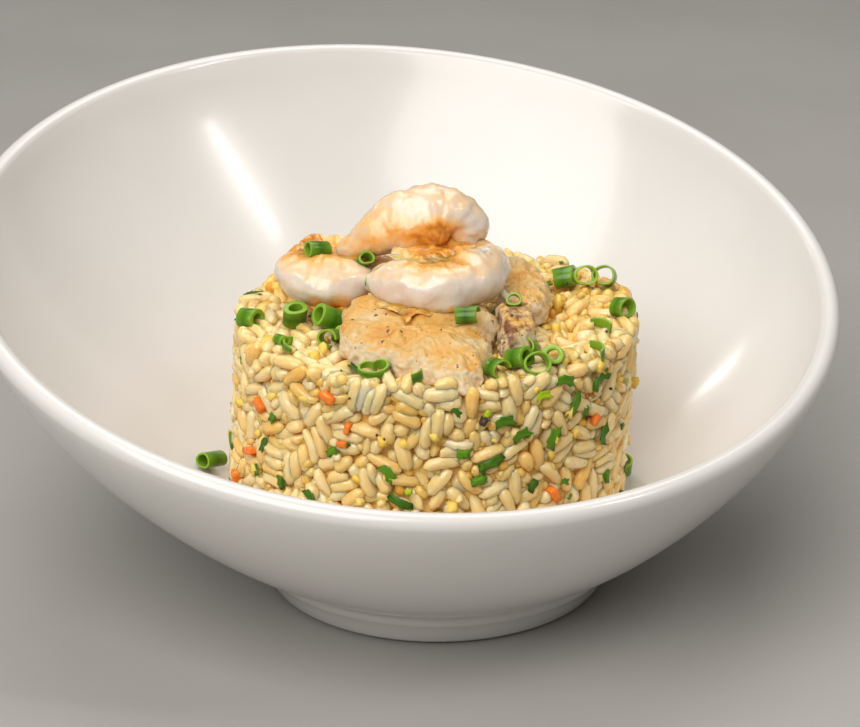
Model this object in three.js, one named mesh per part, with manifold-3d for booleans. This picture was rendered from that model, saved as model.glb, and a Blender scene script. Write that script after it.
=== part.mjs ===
// Fried rice with shrimp, chicken and spring onion, turned out of a ring mould into a slanted porcelain bowl.
// Millimetres, +Z up. The bowl stands on z = 0, YZ is its middle plane and the high side of its rim faces +Y.
// The food lies in a frame of its own on the foot's axis, turned so that -Y is the side it is served from.
import * as THREE from "three";
import { mergeVertices } from "three/addons/utils/BufferGeometryUtils.js";
import Module from "manifold-3d";

const wasm = await Module();
wasm.setup();

const degrees = THREE.MathUtils.degToRad;

// The bowl: its rim is a tilted circle. Its wall leaves the foot at one slope and meets the rim at another.
const RIM_RADIUS = 101;
const RIM_TILT = degrees(14.15);
const RIM_SHIFT = 22.9; // from the foot's axis to the rim's middle, towards the high side
const RIM_HEIGHT = 68; // the rim's middle above the table
const WALL = 4.8;
const WALL_STEPS = 7;
const LIP_STEPS = 4;
const BOWL_SIDES = 48;
const SLOPE_LOW = degrees(24);
const SLOPE_HIGH = degrees(70);
const REACH_LOW = 0.3; // how far each slope holds, as a share of the span from foot to rim
const REACH_HIGH = 0.25;
const FLOOR_HEIGHT = 15;
const FOOT_RADIUS = 38.5;
const FOOT_STEP = new THREE.Vector2(41.2, 5.6); // a faint ledge round the foot: its radius and height
const FOOT_TOP = new THREE.Vector2(42, 8.1); // the crease between the foot and the wall
const RECESS_RADIUS = 33;
const RECESS_DEPTH = 8.2;
const FOOT_INNER_RADIUS = 34.4;

// The moulded rice: a drum 90 wide, leaning a little, with a bump for each grain.
const RICE_RADIUS = 44;
const RICE_TOP = 62.8;
const RICE_EDGE = 3;
const RICE_MIDDLE = -1.3; // across from the foot's axis
const RICE_LEAN = 2.6; // how far the top stands to the right of the bottom
const GRAIN_SPLITS = 8; // splits of each edge of an icosahedron, which set the size of a grain's cell
const GRAIN_HEIGHT = 1.25;
const GRAIN_HALF = 0.056; // half a grain's ridge, as an angle on the ball that carries the cells
const GAP = 0.3;

const FOOD_TURN = degrees(-20); // the serving side, from the bowl's low side

// Repeatable random numbers between 0 and 1.
function dice(seed) {
  let state = seed;
  return () => {
    state = (state * 1664525 + 1013904223) % 4294967296;
    return state / 4294967296;
  };
}

// A geometry with its shared vertices merged, and the solid it bounds.
function merged(geometry) {
  const bare = geometry.clone();
  for (const name of ["normal", "uv"]) bare.deleteAttribute(name);
  return mergeVertices(bare, 1e-4);
}

function solidOf(geometry) {
  const shape = merged(geometry);
  const vertProperties = new Float32Array(shape.attributes.position.array);
  const triVerts = new Uint32Array(shape.index.array);
  return new wasm.Manifold(new wasm.Mesh({ numProp: 3, vertProperties, triVerts }));
}

// The largest body of a solid: a cut can leave crumbs.
function mainBody(solid) {
  return solid.decompose().reduce((a, b) => (a.volume() > b.volume() ? a : b));
}

function geometryOf(solid) {
  const { vertProperties, triVerts, numProp } = solid.getMesh();
  const positions = new Float32Array((vertProperties.length / numProp) * 3);
  for (let i = 0; i < positions.length / 3; i++) {
    positions.set(vertProperties.subarray(i * numProp, i * numProp + 3), i * 3);
  }
  const geometry = new THREE.BufferGeometry();
  geometry.setAttribute("position", new THREE.BufferAttribute(positions, 3));
  geometry.setIndex(new THREE.BufferAttribute(new Uint32Array(triVerts), 1));
  return geometry;
}

// A copy swollen by a distance along its normals, which cuts the bed that a piece lies in.
function swollen(geometry, distance) {
  const copy = merged(geometry);
  copy.computeVertexNormals();
  const { position, normal } = copy.attributes;
  for (let i = 0; i < position.count; i++) {
    position.setXYZ(
      i,
      position.getX(i) + distance * normal.getX(i),
      position.getY(i) + distance * normal.getY(i),
      position.getZ(i) + distance * normal.getZ(i),
    );
  }
  return copy;
}

// A closed skin through rings of points, with a point that closes each end.
function skin(start, rings, end) {
  const sides = rings[0].length;
  const points = [start, ...rings.flat(), end];
  const faces = [];
  const at = (ring, side) => 1 + ring * sides + (side % sides);
  for (let side = 0; side < sides; side++) {
    faces.push(0, at(0, side + 1), at(0, side));
    for (let ring = 0; ring + 1 < rings.length; ring++) {
      faces.push(at(ring, side), at(ring, side + 1), at(ring + 1, side + 1));
      faces.push(at(ring, side), at(ring + 1, side + 1), at(ring + 1, side));
    }
    faces.push(at(rings.length - 1, side), at(rings.length - 1, side + 1), points.length - 1);
  }
  const geometry = new THREE.BufferGeometry().setFromPoints(points);
  geometry.setIndex(faces);
  return geometry;
}

// The rim's outer point at an azimuth from the high side, as a distance from the foot's axis and a height.
function rimPoint(azimuth) {
  const depth = RIM_RADIUS * Math.cos(RIM_TILT);
  const a = (Math.sin(azimuth) / RIM_RADIUS) ** 2 + (Math.cos(azimuth) / depth) ** 2;
  const b = (-2 * Math.cos(azimuth) * RIM_SHIFT) / depth ** 2;
  const c = (RIM_SHIFT / depth) ** 2 - 1;
  const radius = (-b + Math.sqrt(b * b - 4 * a * c)) / (2 * a);
  const along = radius * Math.cos(azimuth) - RIM_SHIFT;
  return new THREE.Vector2(radius, RIM_HEIGHT + along * Math.tan(RIM_TILT));
}

// The outside of the wall at an azimuth, from the foot's crease to the rim.
function wallCurve(azimuth) {
  const rim = rimPoint(azimuth);
  const span = rim.distanceTo(FOOT_TOP);
  const low = new THREE.Vector2(Math.cos(SLOPE_LOW), Math.sin(SLOPE_LOW));
  const high = new THREE.Vector2(Math.cos(SLOPE_HIGH), Math.sin(SLOPE_HIGH));
  const leave = FOOT_TOP.clone().addScaledVector(low, REACH_LOW * span);
  const arrive = rim.clone().addScaledVector(high, -REACH_HIGH * span);
  return new THREE.CubicBezierCurve(FOOT_TOP, leave, arrive, rim);
}

// The inside of the wall at a share of that curve, or a line that stands clear of it.
function innerPoint(curve, share, clear = 0) {
  const slope = curve.getTangent(share);
  return curve.getPoint(share).add(new THREE.Vector2(-slope.y, slope.x).multiplyScalar(WALL + clear));
}

// That line from the bowl's floor to the rim.
function innerLine(azimuth, clear = 0) {
  const curve = wallCurve(azimuth);
  let low = 0;
  let high = 1;
  while (high - low > 1e-5) {
    const share = (low + high) / 2;
    if (innerPoint(curve, share, clear).y < FLOOR_HEIGHT + clear) low = share;
    else high = share;
  }
  const line = [];
  for (let i = 0; i <= WALL_STEPS; i++) {
    line.push(innerPoint(curve, high + ((1 - high) * i) / WALL_STEPS, clear));
  }
  return line;
}

// The bowl's section at an azimuth, from the foot's inner edge round the lip to the edge of the floor.
function bowlSection(azimuth) {
  const curve = wallCurve(azimuth);
  const section = [
    new THREE.Vector2(RECESS_RADIUS, RECESS_DEPTH),
    new THREE.Vector2(FOOT_INNER_RADIUS, 0),
    new THREE.Vector2(FOOT_RADIUS - 0.6, 0),
    new THREE.Vector2(FOOT_RADIUS + 0.2, 0.7),
    FOOT_STEP.clone(),
    new THREE.Vector2(FOOT_STEP.x + 0.4, FOOT_STEP.y + 0.2),
  ];
  for (let i = 0; i <= WALL_STEPS; i++) section.push(curve.getPoint(i / WALL_STEPS));
  const outer = curve.getPoint(1);
  const inner = innerPoint(curve, 1);
  const middle = outer.clone().add(inner).multiplyScalar(0.5);
  for (let i = 1; i < LIP_STEPS; i++) {
    const turn = (Math.PI * i) / LIP_STEPS;
    section.push(outer.clone().sub(middle).rotateAround(new THREE.Vector2(), turn).add(middle));
  }
  return [...section, ...innerLine(azimuth).reverse()];
}

// Rings of points round the foot's axis, from the section at each azimuth.
function ringsRound(sectionAt) {
  const sections = [];
  for (let side = 0; side < BOWL_SIDES; side++) {
    const azimuth = (2 * Math.PI * side) / BOWL_SIDES;
    const place = (p) => new THREE.Vector3(-p.x * Math.sin(azimuth), p.x * Math.cos(azimuth), p.y);
    sections.push(sectionAt(azimuth).map(place));
  }
  return sections[0].map((_, ring) => sections.map((section) => section[ring]));
}

function bowlGeometry() {
  const bottom = new THREE.Vector3(0, 0, RECESS_DEPTH);
  return skin(bottom, ringsRound(bowlSection), new THREE.Vector3(0, 0, FLOOR_HEIGHT));
}

// The space over the bowl's inside that the rice fills, up to well above the rim.
function hollowGeometry() {
  const bottom = new THREE.Vector3(0, 0, FLOOR_HEIGHT + GAP);
  const rings = ringsRound((azimuth) => innerLine(azimuth, GAP));
  return skin(bottom, rings, new THREE.Vector3(0, 0, 3 * RIM_HEIGHT));
}

// The height of the rice's top, with the clumps of browned rice at the back.
const CLUMPS = [
  { x: 37, y: 9, wide: 9, high: 3.2 },
  { x: -36, y: 14, wide: 8, high: 1.8 },
  { x: 22, y: 30, wide: 12, high: 1.2 },
  { x: -18, y: -33, wide: 10, high: -1 },
];

function riceTop(x, y) {
  const ripple = 0.5 * Math.sin(0.31 * x + 1) * Math.sin(0.27 * y + 2);
  return CLUMPS.reduce((height, c) => {
    const away = ((x - c.x) ** 2 + (y - c.y) ** 2) / c.wide ** 2;
    return height + c.high * Math.exp(-away);
  }, RICE_TOP + ripple);
}

// A point of the drum for a direction on the ball: areas are kept, so that the cells stay even.
// The wall runs on below the bowl's floor, where it is cut off.
function onDrum(direction, lift) {
  const height = RICE_TOP - FLOOR_HEIGHT;
  const area = 2 * Math.PI * RICE_RADIUS * (RICE_RADIUS + height);
  const covered = (area * (1 - direction.z)) / 2;
  const topArea = Math.PI * RICE_RADIUS ** 2;
  const along =
    covered < topArea
      ? Math.sqrt(covered / Math.PI)
      : RICE_RADIUS + (covered - topArea) / (2 * Math.PI * RICE_RADIUS);
  const bend = (RICE_EDGE * Math.PI) / 4;
  const turn = (Math.PI / 2) * THREE.MathUtils.clamp((along - RICE_RADIUS + bend) / (2 * bend), 0, 1);
  const inside = Math.min(along, RICE_RADIUS - bend) / (RICE_RADIUS - bend);
  const radius = (RICE_RADIUS - RICE_EDGE) * inside + (RICE_EDGE + lift) * Math.sin(turn);
  const azimuth = Math.atan2(direction.y, direction.x);
  const x = radius * Math.cos(azimuth);
  const y = radius * Math.sin(azimuth);
  const below = Math.max(0, along - RICE_RADIUS - bend);
  const z = riceTop(x, y) - RICE_EDGE + (RICE_EDGE + lift) * Math.cos(turn) - below;
  const lean = RICE_LEAN * ((z - FLOOR_HEIGHT) / height - 0.5);
  return new THREE.Vector3(RICE_MIDDLE + x + lean, y, z);
}

// A grain for each cell of a geodesic ball: a ridge with random direction over the cell's shared corners.
function grainedDrum() {
  const roll = dice(7);
  const ball = merged(new THREE.IcosahedronGeometry(1, GRAIN_SPLITS)).rotateX(0.4).rotateY(0.3);
  const index = ball.index.array;
  const middles = [];
  for (let i = 0; i < ball.attributes.position.count; i++) {
    middles.push(new THREE.Vector3().fromBufferAttribute(ball.attributes.position, i));
  }
  const cornersOf = middles.map(() => []);
  const corners = [];
  for (let i = 0; i < index.length; i += 3) {
    const cells = [index[i], index[i + 1], index[i + 2]];
    const corner = cells.reduce((sum, cell) => sum.add(middles[cell]), new THREE.Vector3()).normalize();
    for (const cell of cells) cornersOf[cell].push(corners.length);
    corners.push(corner);
  }
  const lines = middles.map((middle) => {
    const side = new THREE.Vector3(0, 0, 1).cross(middle).normalize();
    return side.applyAxisAngle(middle, 2 * Math.PI * roll());
  });
  // Each corner gives way to the ends of the three grains that meet there.
  const shifts = corners.map(() => new THREE.Vector3());
  middles.forEach((middle, cell) => {
    for (const corner of cornersOf[cell]) {
      const away = corners[corner].clone().sub(middle);
      shifts[corner].addScaledVector(lines[cell], 0.3 * away.dot(lines[cell]));
    }
  });
  const points = corners.map((corner, i) => onDrum(corner.clone().add(shifts[i]).normalize(), -0.5 * roll()));
  const faces = [];
  middles.forEach((middle, cell) => {
    const line = lines[cell];
    const cross = middle.clone().cross(line);
    const around = (i) => {
      const away = corners[i].clone().sub(middle);
      return Math.atan2(away.dot(cross), away.dot(line));
    };
    const ring = cornersOf[cell].sort((a, b) => around(a) - around(b));
    const half = GRAIN_HALF * (0.8 + 0.4 * roll());
    const ends = [half, -half].map((shift) => {
      const end = middle.clone().addScaledVector(line, shift).normalize();
      points.push(onDrum(end, GRAIN_HEIGHT * (0.6 + 0.8 * roll())));
      return points.length - 1;
    });
    const endFor = (i) => ends[corners[i].clone().sub(middle).dot(line) > 0 ? 0 : 1];
    ring.forEach((a, i) => {
      const b = ring[(i + 1) % ring.length];
      faces.push(a, b, endFor(b));
      if (endFor(a) !== endFor(b)) faces.push(a, endFor(b), endFor(a));
    });
  });
  const geometry = new THREE.BufferGeometry().setFromPoints(points);
  geometry.setIndex(faces);
  return geometry;
}

// A slice of spring onion: a short tube, with its axis leaning from upright and turned about the vertical.
// A slice without a hole is one whose end isn't seen.
const ONION_SIDES = 7;

function onionSlice({ at, radius, long, lean, turn, hole = 0 }) {
  const inner = radius * hole;
  const profile = [
    [inner, -long / 2],
    [radius, -long / 2],
    [radius, long / 2],
    [inner, long / 2],
  ];
  if (hole > 0) profile.push(profile[0]);
  const outline = profile.map(([x, y]) => new THREE.Vector2(x, y));
  const slice = new THREE.LatheGeometry(outline, ONION_SIDES);
  slice.rotateX(Math.PI / 2 + degrees(lean)).rotateZ(degrees(turn));
  return slice.translate(...at);
}

// A curved strip of spring onion that lies on its edge.
function onionLeaf({ at, radius, sweep, turn, high = 2.2, thick = 1.1 }) {
  const shape = new THREE.Shape();
  const half = degrees(sweep) / 2;
  shape.absarc(0, 0, radius, -half, half, false);
  shape.absarc(0, 0, radius - thick, half, -half, true);
  const leaf = new THREE.ExtrudeGeometry(shape, { depth: high, bevelEnabled: false, curveSegments: 3 });
  return leaf.rotateZ(degrees(turn)).translate(at[0], at[1], at[2] - high / 2);
}

// The slices and strips on the rice, by their place across and along its top.
const RICE_SLICES = [
  { x: -41.2, y: -7.3, radius: 2.3, long: 4.4, lean: 84, turn: 60, lift: 1.2 },
  { x: -31.1, y: -8.6, radius: 2.4, long: 4.6, lean: 70, turn: 20, lift: 2, hole: 0.55 },
  { x: -23.6, y: -12.4, radius: 2.8, long: 5.6, lean: 62, turn: -60, lift: 3, hole: 0.55 },
  { x: -20.9, y: -17.5, radius: 1.6, long: 3, lean: 40, turn: 30, lift: 1.2 },
  { x: -23, y: -20.4, radius: 2.2, long: 3.6, lean: 75, turn: -20, lift: 1.4 },
  { x: -33.5, y: -20.4, radius: 1.3, long: 3, lean: 85, turn: 40, lift: 0.8 },
  { x: -13.2, y: -37, radius: 3, long: 2, lean: 12, turn: 0, lift: 1.2, hole: 0.7 },
  { x: 29.2, y: 14.6, radius: 2.6, long: 4.8, lean: 75, turn: 80, lift: 1.8 },
  { x: 33.6, y: 10.6, radius: 2.5, long: 3.6, lean: 70, turn: 10, lift: 1.6, hole: 0.55 },
  { x: 38, y: 10.6, radius: 2.5, long: 3, lean: 66, turn: -15, lift: 1.8, hole: 0.55 },
  { x: 41, y: -3.2, radius: 2.4, long: 3.6, lean: 80, turn: 50, lift: 1.2 },
  { x: 17, y: -33.4, radius: 2.4, long: 4.6, lean: 70, turn: 60, lift: 1.6 },
  { x: 19.4, y: -27.6, radius: 2.1, long: 3.6, lean: 60, turn: -30, lift: 1.4 },
  { x: 20.8, y: -35.6, radius: 2.6, long: 3.2, lean: 60, turn: 15, lift: 1.6, hole: 0.7 },
  { x: 24.6, y: -31.4, radius: 2.1, long: 3.6, lean: 66, turn: -10, lift: 1.6, hole: 0.55 },
  { x: 12.4, y: -39, radius: 2.2, long: 4, lean: 82, turn: 40, lift: 1.1 },
];
const RICE_LEAVES = [
  { x: -29, y: -23.4, radius: 4.2, sweep: 120, turn: 120 },
  { x: 22.6, y: 4.6, radius: 5, sweep: 80, turn: 70 },
  { x: 33.6, y: -15.6, radius: 4.4, sweep: 80, turn: 20 },
  { x: -6.4, y: -40.4, radius: 3.6, sweep: 70, turn: -70 },
  { x: 31, y: -26.6, radius: 4.4, sweep: 90, turn: -30 },
];
// Chips that show in the moulded side, by their angle from the serving side and their height.
const SIDE_CHIPS = [
  { angle: -56, high: 50.8, long: 2.4, turn: 30 },
  { angle: -61, high: 38.6, long: 1.6, turn: 0 },
  { angle: -71, high: 29.3, long: 2.2, turn: 70 },
  { angle: 36, high: 34.7, long: 2.2, turn: 60 },
  { angle: -6, high: 38.9, long: 3.2, turn: 10 },
  { angle: 19, high: 54.1, long: 2.6, turn: 20 },
  { angle: 13, high: 41, long: 2.4, turn: 0 },
  { angle: 41, high: 54.3, long: 2.6, turn: 80 },
  { angle: -57, high: 35.2, long: 2.8, turn: 100 },
];

function sideChip({ angle, high, long, turn }) {
  const chip = new THREE.OctahedronGeometry(1).scale(long, 1.3, 1.5).rotateY(degrees(turn));
  const lean = RICE_LEAN * ((high - FLOOR_HEIGHT) / (RICE_TOP - FLOOR_HEIGHT) - 0.5);
  chip.translate(0, -RICE_RADIUS - 0.6, high).rotateZ(degrees(angle));
  return chip.translate(RICE_MIDDLE + lean, 0, 0);
}

// A shrimp: a tapering body along a curl of [across, along, up, half width], flattened across its flank.
const SHRIMP_SIDES = 12;
const SHRIMP_RINGS = 17;
const SHRIMP_FLANK = 0.84; // half the thickness through the flank, as a share of the half width
const TOP_SHRIMP = {
  curl: [
    [-20.6, 2, 76.6, 2],
    [-15, 2, 79.6, 4.4],
    [-7.4, 2, 83, 6.8],
    [0.6, 2.4, 84, 7.5],
    [5.4, 2.4, 81.4, 6.4],
    [6, 1, 78.4, 3.4],
  ],
  flank: [0, -0.8, 0.6],
};
const FRONT_SHRIMP = {
  curl: [
    [-12.4, -7, 72, 3.4],
    [-7.6, -12, 73.4, 5.6],
    [-1, -14.6, 74, 6.6],
    [6, -12.6, 74.6, 6.4],
    [10.6, -6, 75.6, 5.2],
    [9, 1.4, 75.8, 4.2],
    [2, 2.4, 75.4, 3],
  ],
  flank: [0, -0.3, 0.95],
};
const LEFT_SHRIMP = {
  curl: [
    [-29.8, 7.6, 74.2, 2.4],
    [-31.2, 2, 72, 5],
    [-27, -2.6, 71.2, 6],
    [-21, -2.6, 71, 6],
    [-16, 3, 70.8, 5.2],
    [-11, 9, 70.8, 3.6],
  ],
  flank: [0, -0.45, 0.9],
};

function shrimpGeometry({ curl, flank }) {
  const spine = new THREE.CatmullRomCurve3(curl.map(([x, y, z]) => new THREE.Vector3(x, y, z)));
  const girth = new THREE.SplineCurve(curl.map((p, i) => new THREE.Vector2(i, p[3])));
  const through = new THREE.Vector3(...flank).normalize();
  const ringAt = (middle, tangent, half) => {
    const across = through.clone().cross(tangent).normalize();
    const ring = [];
    for (let side = 0; side < SHRIMP_SIDES; side++) {
      const turn = (2 * Math.PI * side) / SHRIMP_SIDES;
      ring.push(
        middle
          .clone()
          .addScaledVector(across, half * Math.cos(turn))
          .addScaledVector(through, SHRIMP_FLANK * half * Math.sin(turn)),
      );
    }
    return ring;
  };
  const rings = [];
  for (let i = 0; i < SHRIMP_RINGS; i++) {
    const share = i / (SHRIMP_RINGS - 1);
    const groove = i % 3 === 1 ? 0.95 : 1;
    rings.push(ringAt(spine.getPoint(share), spine.getTangent(share), girth.getPoint(share).y * groove));
  }
  // Both ends are rounded off beyond the spine.
  const ends = [0, 1].map((share) => {
    const outward = spine.getTangent(share).multiplyScalar(share ? 1 : -1);
    const half = girth.getPoint(share).y;
    const middle = spine.getPoint(share).addScaledVector(outward, half * 0.5);
    const ring = ringAt(middle, spine.getTangent(share), half * 0.72);
    return { ring, tip: spine.getPoint(share).addScaledVector(outward, half * 0.8) };
  });
  return skin(ends[0].tip, [ends[0].ring, ...rings, ends[1].ring], ends[1].tip);
}

// A cut of chicken: a bevelled slab over an outline, with a sloping, uneven surface.
const CHICKEN_BEVEL = 1.4;
const FRONT_CHICKEN = {
  outline: [
    [-20, -10],
    [-20.6, -20],
    [-19.6, -30],
    [-10, -36],
    [-2, -40],
    [7.6, -43.4],
    [10.4, -36],
    [11.6, -24],
    [12, -12],
    [0, -6],
  ],
  top: 70.6,
  from: [0, -8],
  slope: [-0.02, 0.115],
  thick: 7.4,
};
const MIDDLE_CHICKEN = {
  outline: [
    [13.4, -30],
    [17, -30.4],
    [21, -26],
    [20.6, -18],
    [19, -12.6],
    [13.8, -12],
  ],
  top: 70,
  from: [15, -20],
  slope: [-0.12, 0.04],
  thick: 7,
};
const BACK_CHICKEN = {
  outline: [
    [15, -9.6],
    [20, -12],
    [24.6, -7],
    [25, 3],
    [22, 14],
    [16.4, 16.6],
    [13.4, 8],
    [13.6, -2],
  ],
  top: 70,
  from: [18, 0],
  slope: [-0.1, 0.05],
  thick: 7,
};

function chickenGeometry({ outline, top, from, slope, thick }) {
  const edge = new THREE.SplineCurve([...outline, outline[0]].map(([x, y]) => new THREE.Vector2(x, y)));
  const inset = new THREE.Vector2();
  outline.forEach(([x, y]) => inset.add(new THREE.Vector2(x, y).divideScalar(outline.length)));
  const points = edge.getPoints(outline.length * 2).slice(0, -1);
  const shape = new THREE.Shape(points.map((p) => p.lerp(inset, CHICKEN_BEVEL / p.distanceTo(inset))));
  const slab = new THREE.ExtrudeGeometry(shape, {
    depth: thick - 2 * CHICKEN_BEVEL,
    bevelSize: CHICKEN_BEVEL,
    bevelThickness: CHICKEN_BEVEL,
    bevelSegments: 2,
  });
  const geometry = merged(slab.translate(0, 0, top - thick + CHICKEN_BEVEL));
  const { position } = geometry.attributes;
  for (let i = 0; i < position.count; i++) {
    const x = position.getX(i);
    const y = position.getY(i);
    const z = position.getZ(i);
    const rough = 0.4 * Math.sin(0.9 * x + 0.4 * z) * Math.sin(0.8 * y + 0.6 * z);
    position.setXYZ(i, x + rough, y - rough, z + rough + (x - from[0]) * slope[0] + (y - from[1]) * slope[1]);
  }
  return geometry;
}

// The slices that lie on the shrimp and the chicken.
const LEFT_SHRIMP_SLICES = [
  { at: [-26.4, 0.4, 77], radius: 2, long: 4.6, lean: 80, turn: -60 },
  { at: [-15.7, -1.5, 74.8], radius: 1.6, long: 2.8, lean: 50, turn: 20 },
];
const FRONT_CHICKEN_SLICES = [{ at: [6.4, -24, 70], radius: 2, long: 4.8, lean: 82, turn: 80 }];
const MIDDLE_CHICKEN_SLICES = [
  { at: [16.6, -16, 70.8], radius: 1.5, long: 1.8, lean: 60, turn: 0, hole: 0.5 },
];

// The two slices that have fallen beside the rice, each on the slope of the bowl's inside.
const FALLEN_LEFT = { at: [-52.3, 9.2, 23.1], radius: 2, long: 6.6, lean: 76, turn: -34 };
const FALLEN_RIGHT = { at: [43.4, 13.7, 19.6], radius: 2.2, long: 4.4, lean: 35, turn: 0, hole: 0.5 };

function joined(solid, geometries) {
  return geometries.reduce((sum, geometry) => sum.add(solidOf(geometry)), solid);
}

function bedded(solid, geometries) {
  return geometries.reduce((rest, geometry) => rest.subtract(solidOf(swollen(geometry, GAP))), solid);
}

const topShrimp = shrimpGeometry(TOP_SHRIMP);
const frontShrimp = shrimpGeometry(FRONT_SHRIMP);
const leftShrimp = shrimpGeometry(LEFT_SHRIMP);
const frontChicken = chickenGeometry(FRONT_CHICKEN);
const middleChicken = chickenGeometry(MIDDLE_CHICKEN);
const backChicken = chickenGeometry(BACK_CHICKEN);
const fallenLeft = onionSlice(FALLEN_LEFT);
const fallenRight = onionSlice(FALLEN_RIGHT);

function riceSolid() {
  const hollow = hollowGeometry().rotateZ(-FOOD_TURN);
  const drum = solidOf(grainedDrum()).intersect(solidOf(hollow));
  const slices = RICE_SLICES.map(({ x, y, lift, ...slice }) =>
    onionSlice({ ...slice, at: [x, y, riceTop(x, y) + lift] }),
  );
  const leaves = RICE_LEAVES.map(({ x, y, ...leaf }) =>
    onionLeaf({ ...leaf, at: [x, y, riceTop(x, y) + 0.8] }),
  );
  const chips = SIDE_CHIPS.map(sideChip);
  const dressed = joined(drum, [...slices, ...leaves, ...chips]);
  return bedded(dressed, [frontShrimp, leftShrimp, frontChicken, middleChicken, backChicken, fallenRight]);
}

const frontShrimpSolid = bedded(solidOf(frontShrimp), [topShrimp]);
const leftShrimpSolid = bedded(joined(solidOf(leftShrimp), LEFT_SHRIMP_SLICES.map(onionSlice)), [
  topShrimp,
  frontShrimp,
]);
const frontChickenSolid = bedded(joined(solidOf(frontChicken), FRONT_CHICKEN_SLICES.map(onionSlice)), [
  frontShrimp,
  leftShrimp,
]);
const middleChickenSolid = bedded(joined(solidOf(middleChicken), MIDDLE_CHICKEN_SLICES.map(onionSlice)), [
  frontChicken,
  frontShrimp,
]);
const backChickenSolid = bedded(solidOf(backChicken), [frontShrimp, middleChicken]);

const PORCELAIN = { color: 0xece8e2, roughness: 0.18 };
const RICE = { color: 0xe3d3a6, roughness: 0.5 };
const SHRIMP = { color: 0xf2d3b8, roughness: 0.35 };
const CHICKEN = { color: 0xe3b878, roughness: 0.5 };
const ONION = { color: 0x4f9a1f, roughness: 0.4 };

function named(name, geometry, look) {
  const mesh = new THREE.Mesh(geometry, new THREE.MeshStandardMaterial({ ...look, metalness: 0 }));
  mesh.name = name;
  return mesh;
}

const bowl = named("bowl", bowlGeometry(), PORCELAIN);

const food = new THREE.Group();
food.add(
  named("rice", geometryOf(mainBody(riceSolid())), RICE),
  named("shrimp_top", topShrimp, SHRIMP),
  named("shrimp_front", geometryOf(mainBody(frontShrimpSolid)), SHRIMP),
  named("shrimp_left", geometryOf(mainBody(leftShrimpSolid)), SHRIMP),
  named("chicken_front", geometryOf(mainBody(frontChickenSolid)), CHICKEN),
  named("chicken_middle", geometryOf(mainBody(middleChickenSolid)), CHICKEN),
  named("chicken_back", geometryOf(mainBody(backChickenSolid)), CHICKEN),
  named("onion_left", fallenLeft, ONION),
  named("onion_right", fallenRight, ONION),
);
food.rotation.z = FOOD_TURN;

const dish = new THREE.Group();
dish.add(bowl, food);
dish.position.y = -RIM_SHIFT;

export default dish;
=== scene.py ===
# %% [markdown]
# # Fried rice in a slanted porcelain bowl
# A drum of fried rice stands in a wide white bowl whose rim is low in front and high behind. Shrimp,
# chicken and spring onion lie on it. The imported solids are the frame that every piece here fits. All
# sizes in this lesson are real millimetres, and one factor turns them into Blender's metres.

# %% Load the solids
import math

import bmesh
import bpy
import numpy as np
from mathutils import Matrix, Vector, noise


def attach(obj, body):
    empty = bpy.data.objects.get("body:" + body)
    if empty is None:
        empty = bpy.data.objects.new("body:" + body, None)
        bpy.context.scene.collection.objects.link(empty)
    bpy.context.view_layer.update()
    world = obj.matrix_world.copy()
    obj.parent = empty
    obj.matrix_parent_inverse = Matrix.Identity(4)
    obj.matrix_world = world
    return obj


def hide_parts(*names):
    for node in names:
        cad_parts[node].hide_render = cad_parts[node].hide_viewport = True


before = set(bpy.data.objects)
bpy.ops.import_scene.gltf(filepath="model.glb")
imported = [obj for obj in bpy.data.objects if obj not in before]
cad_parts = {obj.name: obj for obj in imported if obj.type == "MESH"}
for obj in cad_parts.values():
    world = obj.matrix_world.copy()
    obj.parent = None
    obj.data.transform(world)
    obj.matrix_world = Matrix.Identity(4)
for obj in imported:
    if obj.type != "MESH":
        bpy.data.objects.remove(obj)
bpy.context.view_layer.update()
MM = 0.001
bpy.ops.object.select_all(action="DESELECT")
print("nodes:", sorted(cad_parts))

# %% [markdown]
# The food has a frame of its own on the foot's axis: x runs to the right as the camera sees it, y away
# from the camera and z up. It is turned 20 degrees in the bowl, so one small function carries points from
# the food's frame into the part's frame, and everything that lies in the bowl is placed through it.

# %% The food's frame
FOOT_Y = -22.9
FOOD_TURN = -20


def sin_cos(degrees):
    return math.sin(math.radians(degrees)), math.cos(math.radians(degrees))


def about_z(degrees):
    """The matrix that turns points about the z axis."""
    s, c = sin_cos(degrees)
    return np.array([[c, -s, 0], [s, c, 0], [0, 0, 1]])


TURN = about_z(FOOD_TURN)


def served(points):
    """Points of the food's frame in millimetres, as metres in the part's frame."""
    return (np.asarray(points, float) @ TURN.T + (0, FOOT_Y, 0)) * MM


def food_frame(points):
    """The way back: metres of the part's frame to millimetres of the food's frame."""
    return (np.asarray(points, float) / MM - (0, FOOT_Y, 0)) @ TURN


print("the rice's middle in the part's frame:", served([[-1.3, 0, 40]])[0].round(4))

# %% [markdown]
# The camera stands half a metre from the dish and looks down on it by 21 degrees.
# A long lens keeps the ellipse of the rim as round as the picture shows it.

# %% Camera
CAMERA_AIM = (-1.46, 0, 50.5)
CAMERA_DISTANCE = 550
CAMERA_RISE = 21.12
CAMERA_LENS, SENSOR_WIDTH = 102.4, 36
up, back = sin_cos(CAMERA_RISE)
away = np.array([0, -back, up]) * CAMERA_DISTANCE
look = (math.radians(90 - CAMERA_RISE), 0, math.radians(FOOD_TURN))
bpy.ops.object.camera_add(location=served([CAMERA_AIM + away])[0], rotation=look)
camera = bpy.context.object
camera.data.lens = CAMERA_LENS
camera.data.sensor_width = SENSOR_WIDTH
camera.data.sensor_fit = "HORIZONTAL"
bpy.context.scene.camera = camera
bpy.context.scene.view_settings.view_transform = "Standard"
print("camera at", [round(v, 3) for v in camera.location])

# %% [markdown]
# A finish is a Principled shader with a few nodes before it. Small helpers keep each recipe short: they
# start a material, add noise of a real size in millimetres, turn a value into colours, mix two colours,
# read what was stored on the points, and give the surface its colour and a fine relief.


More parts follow.
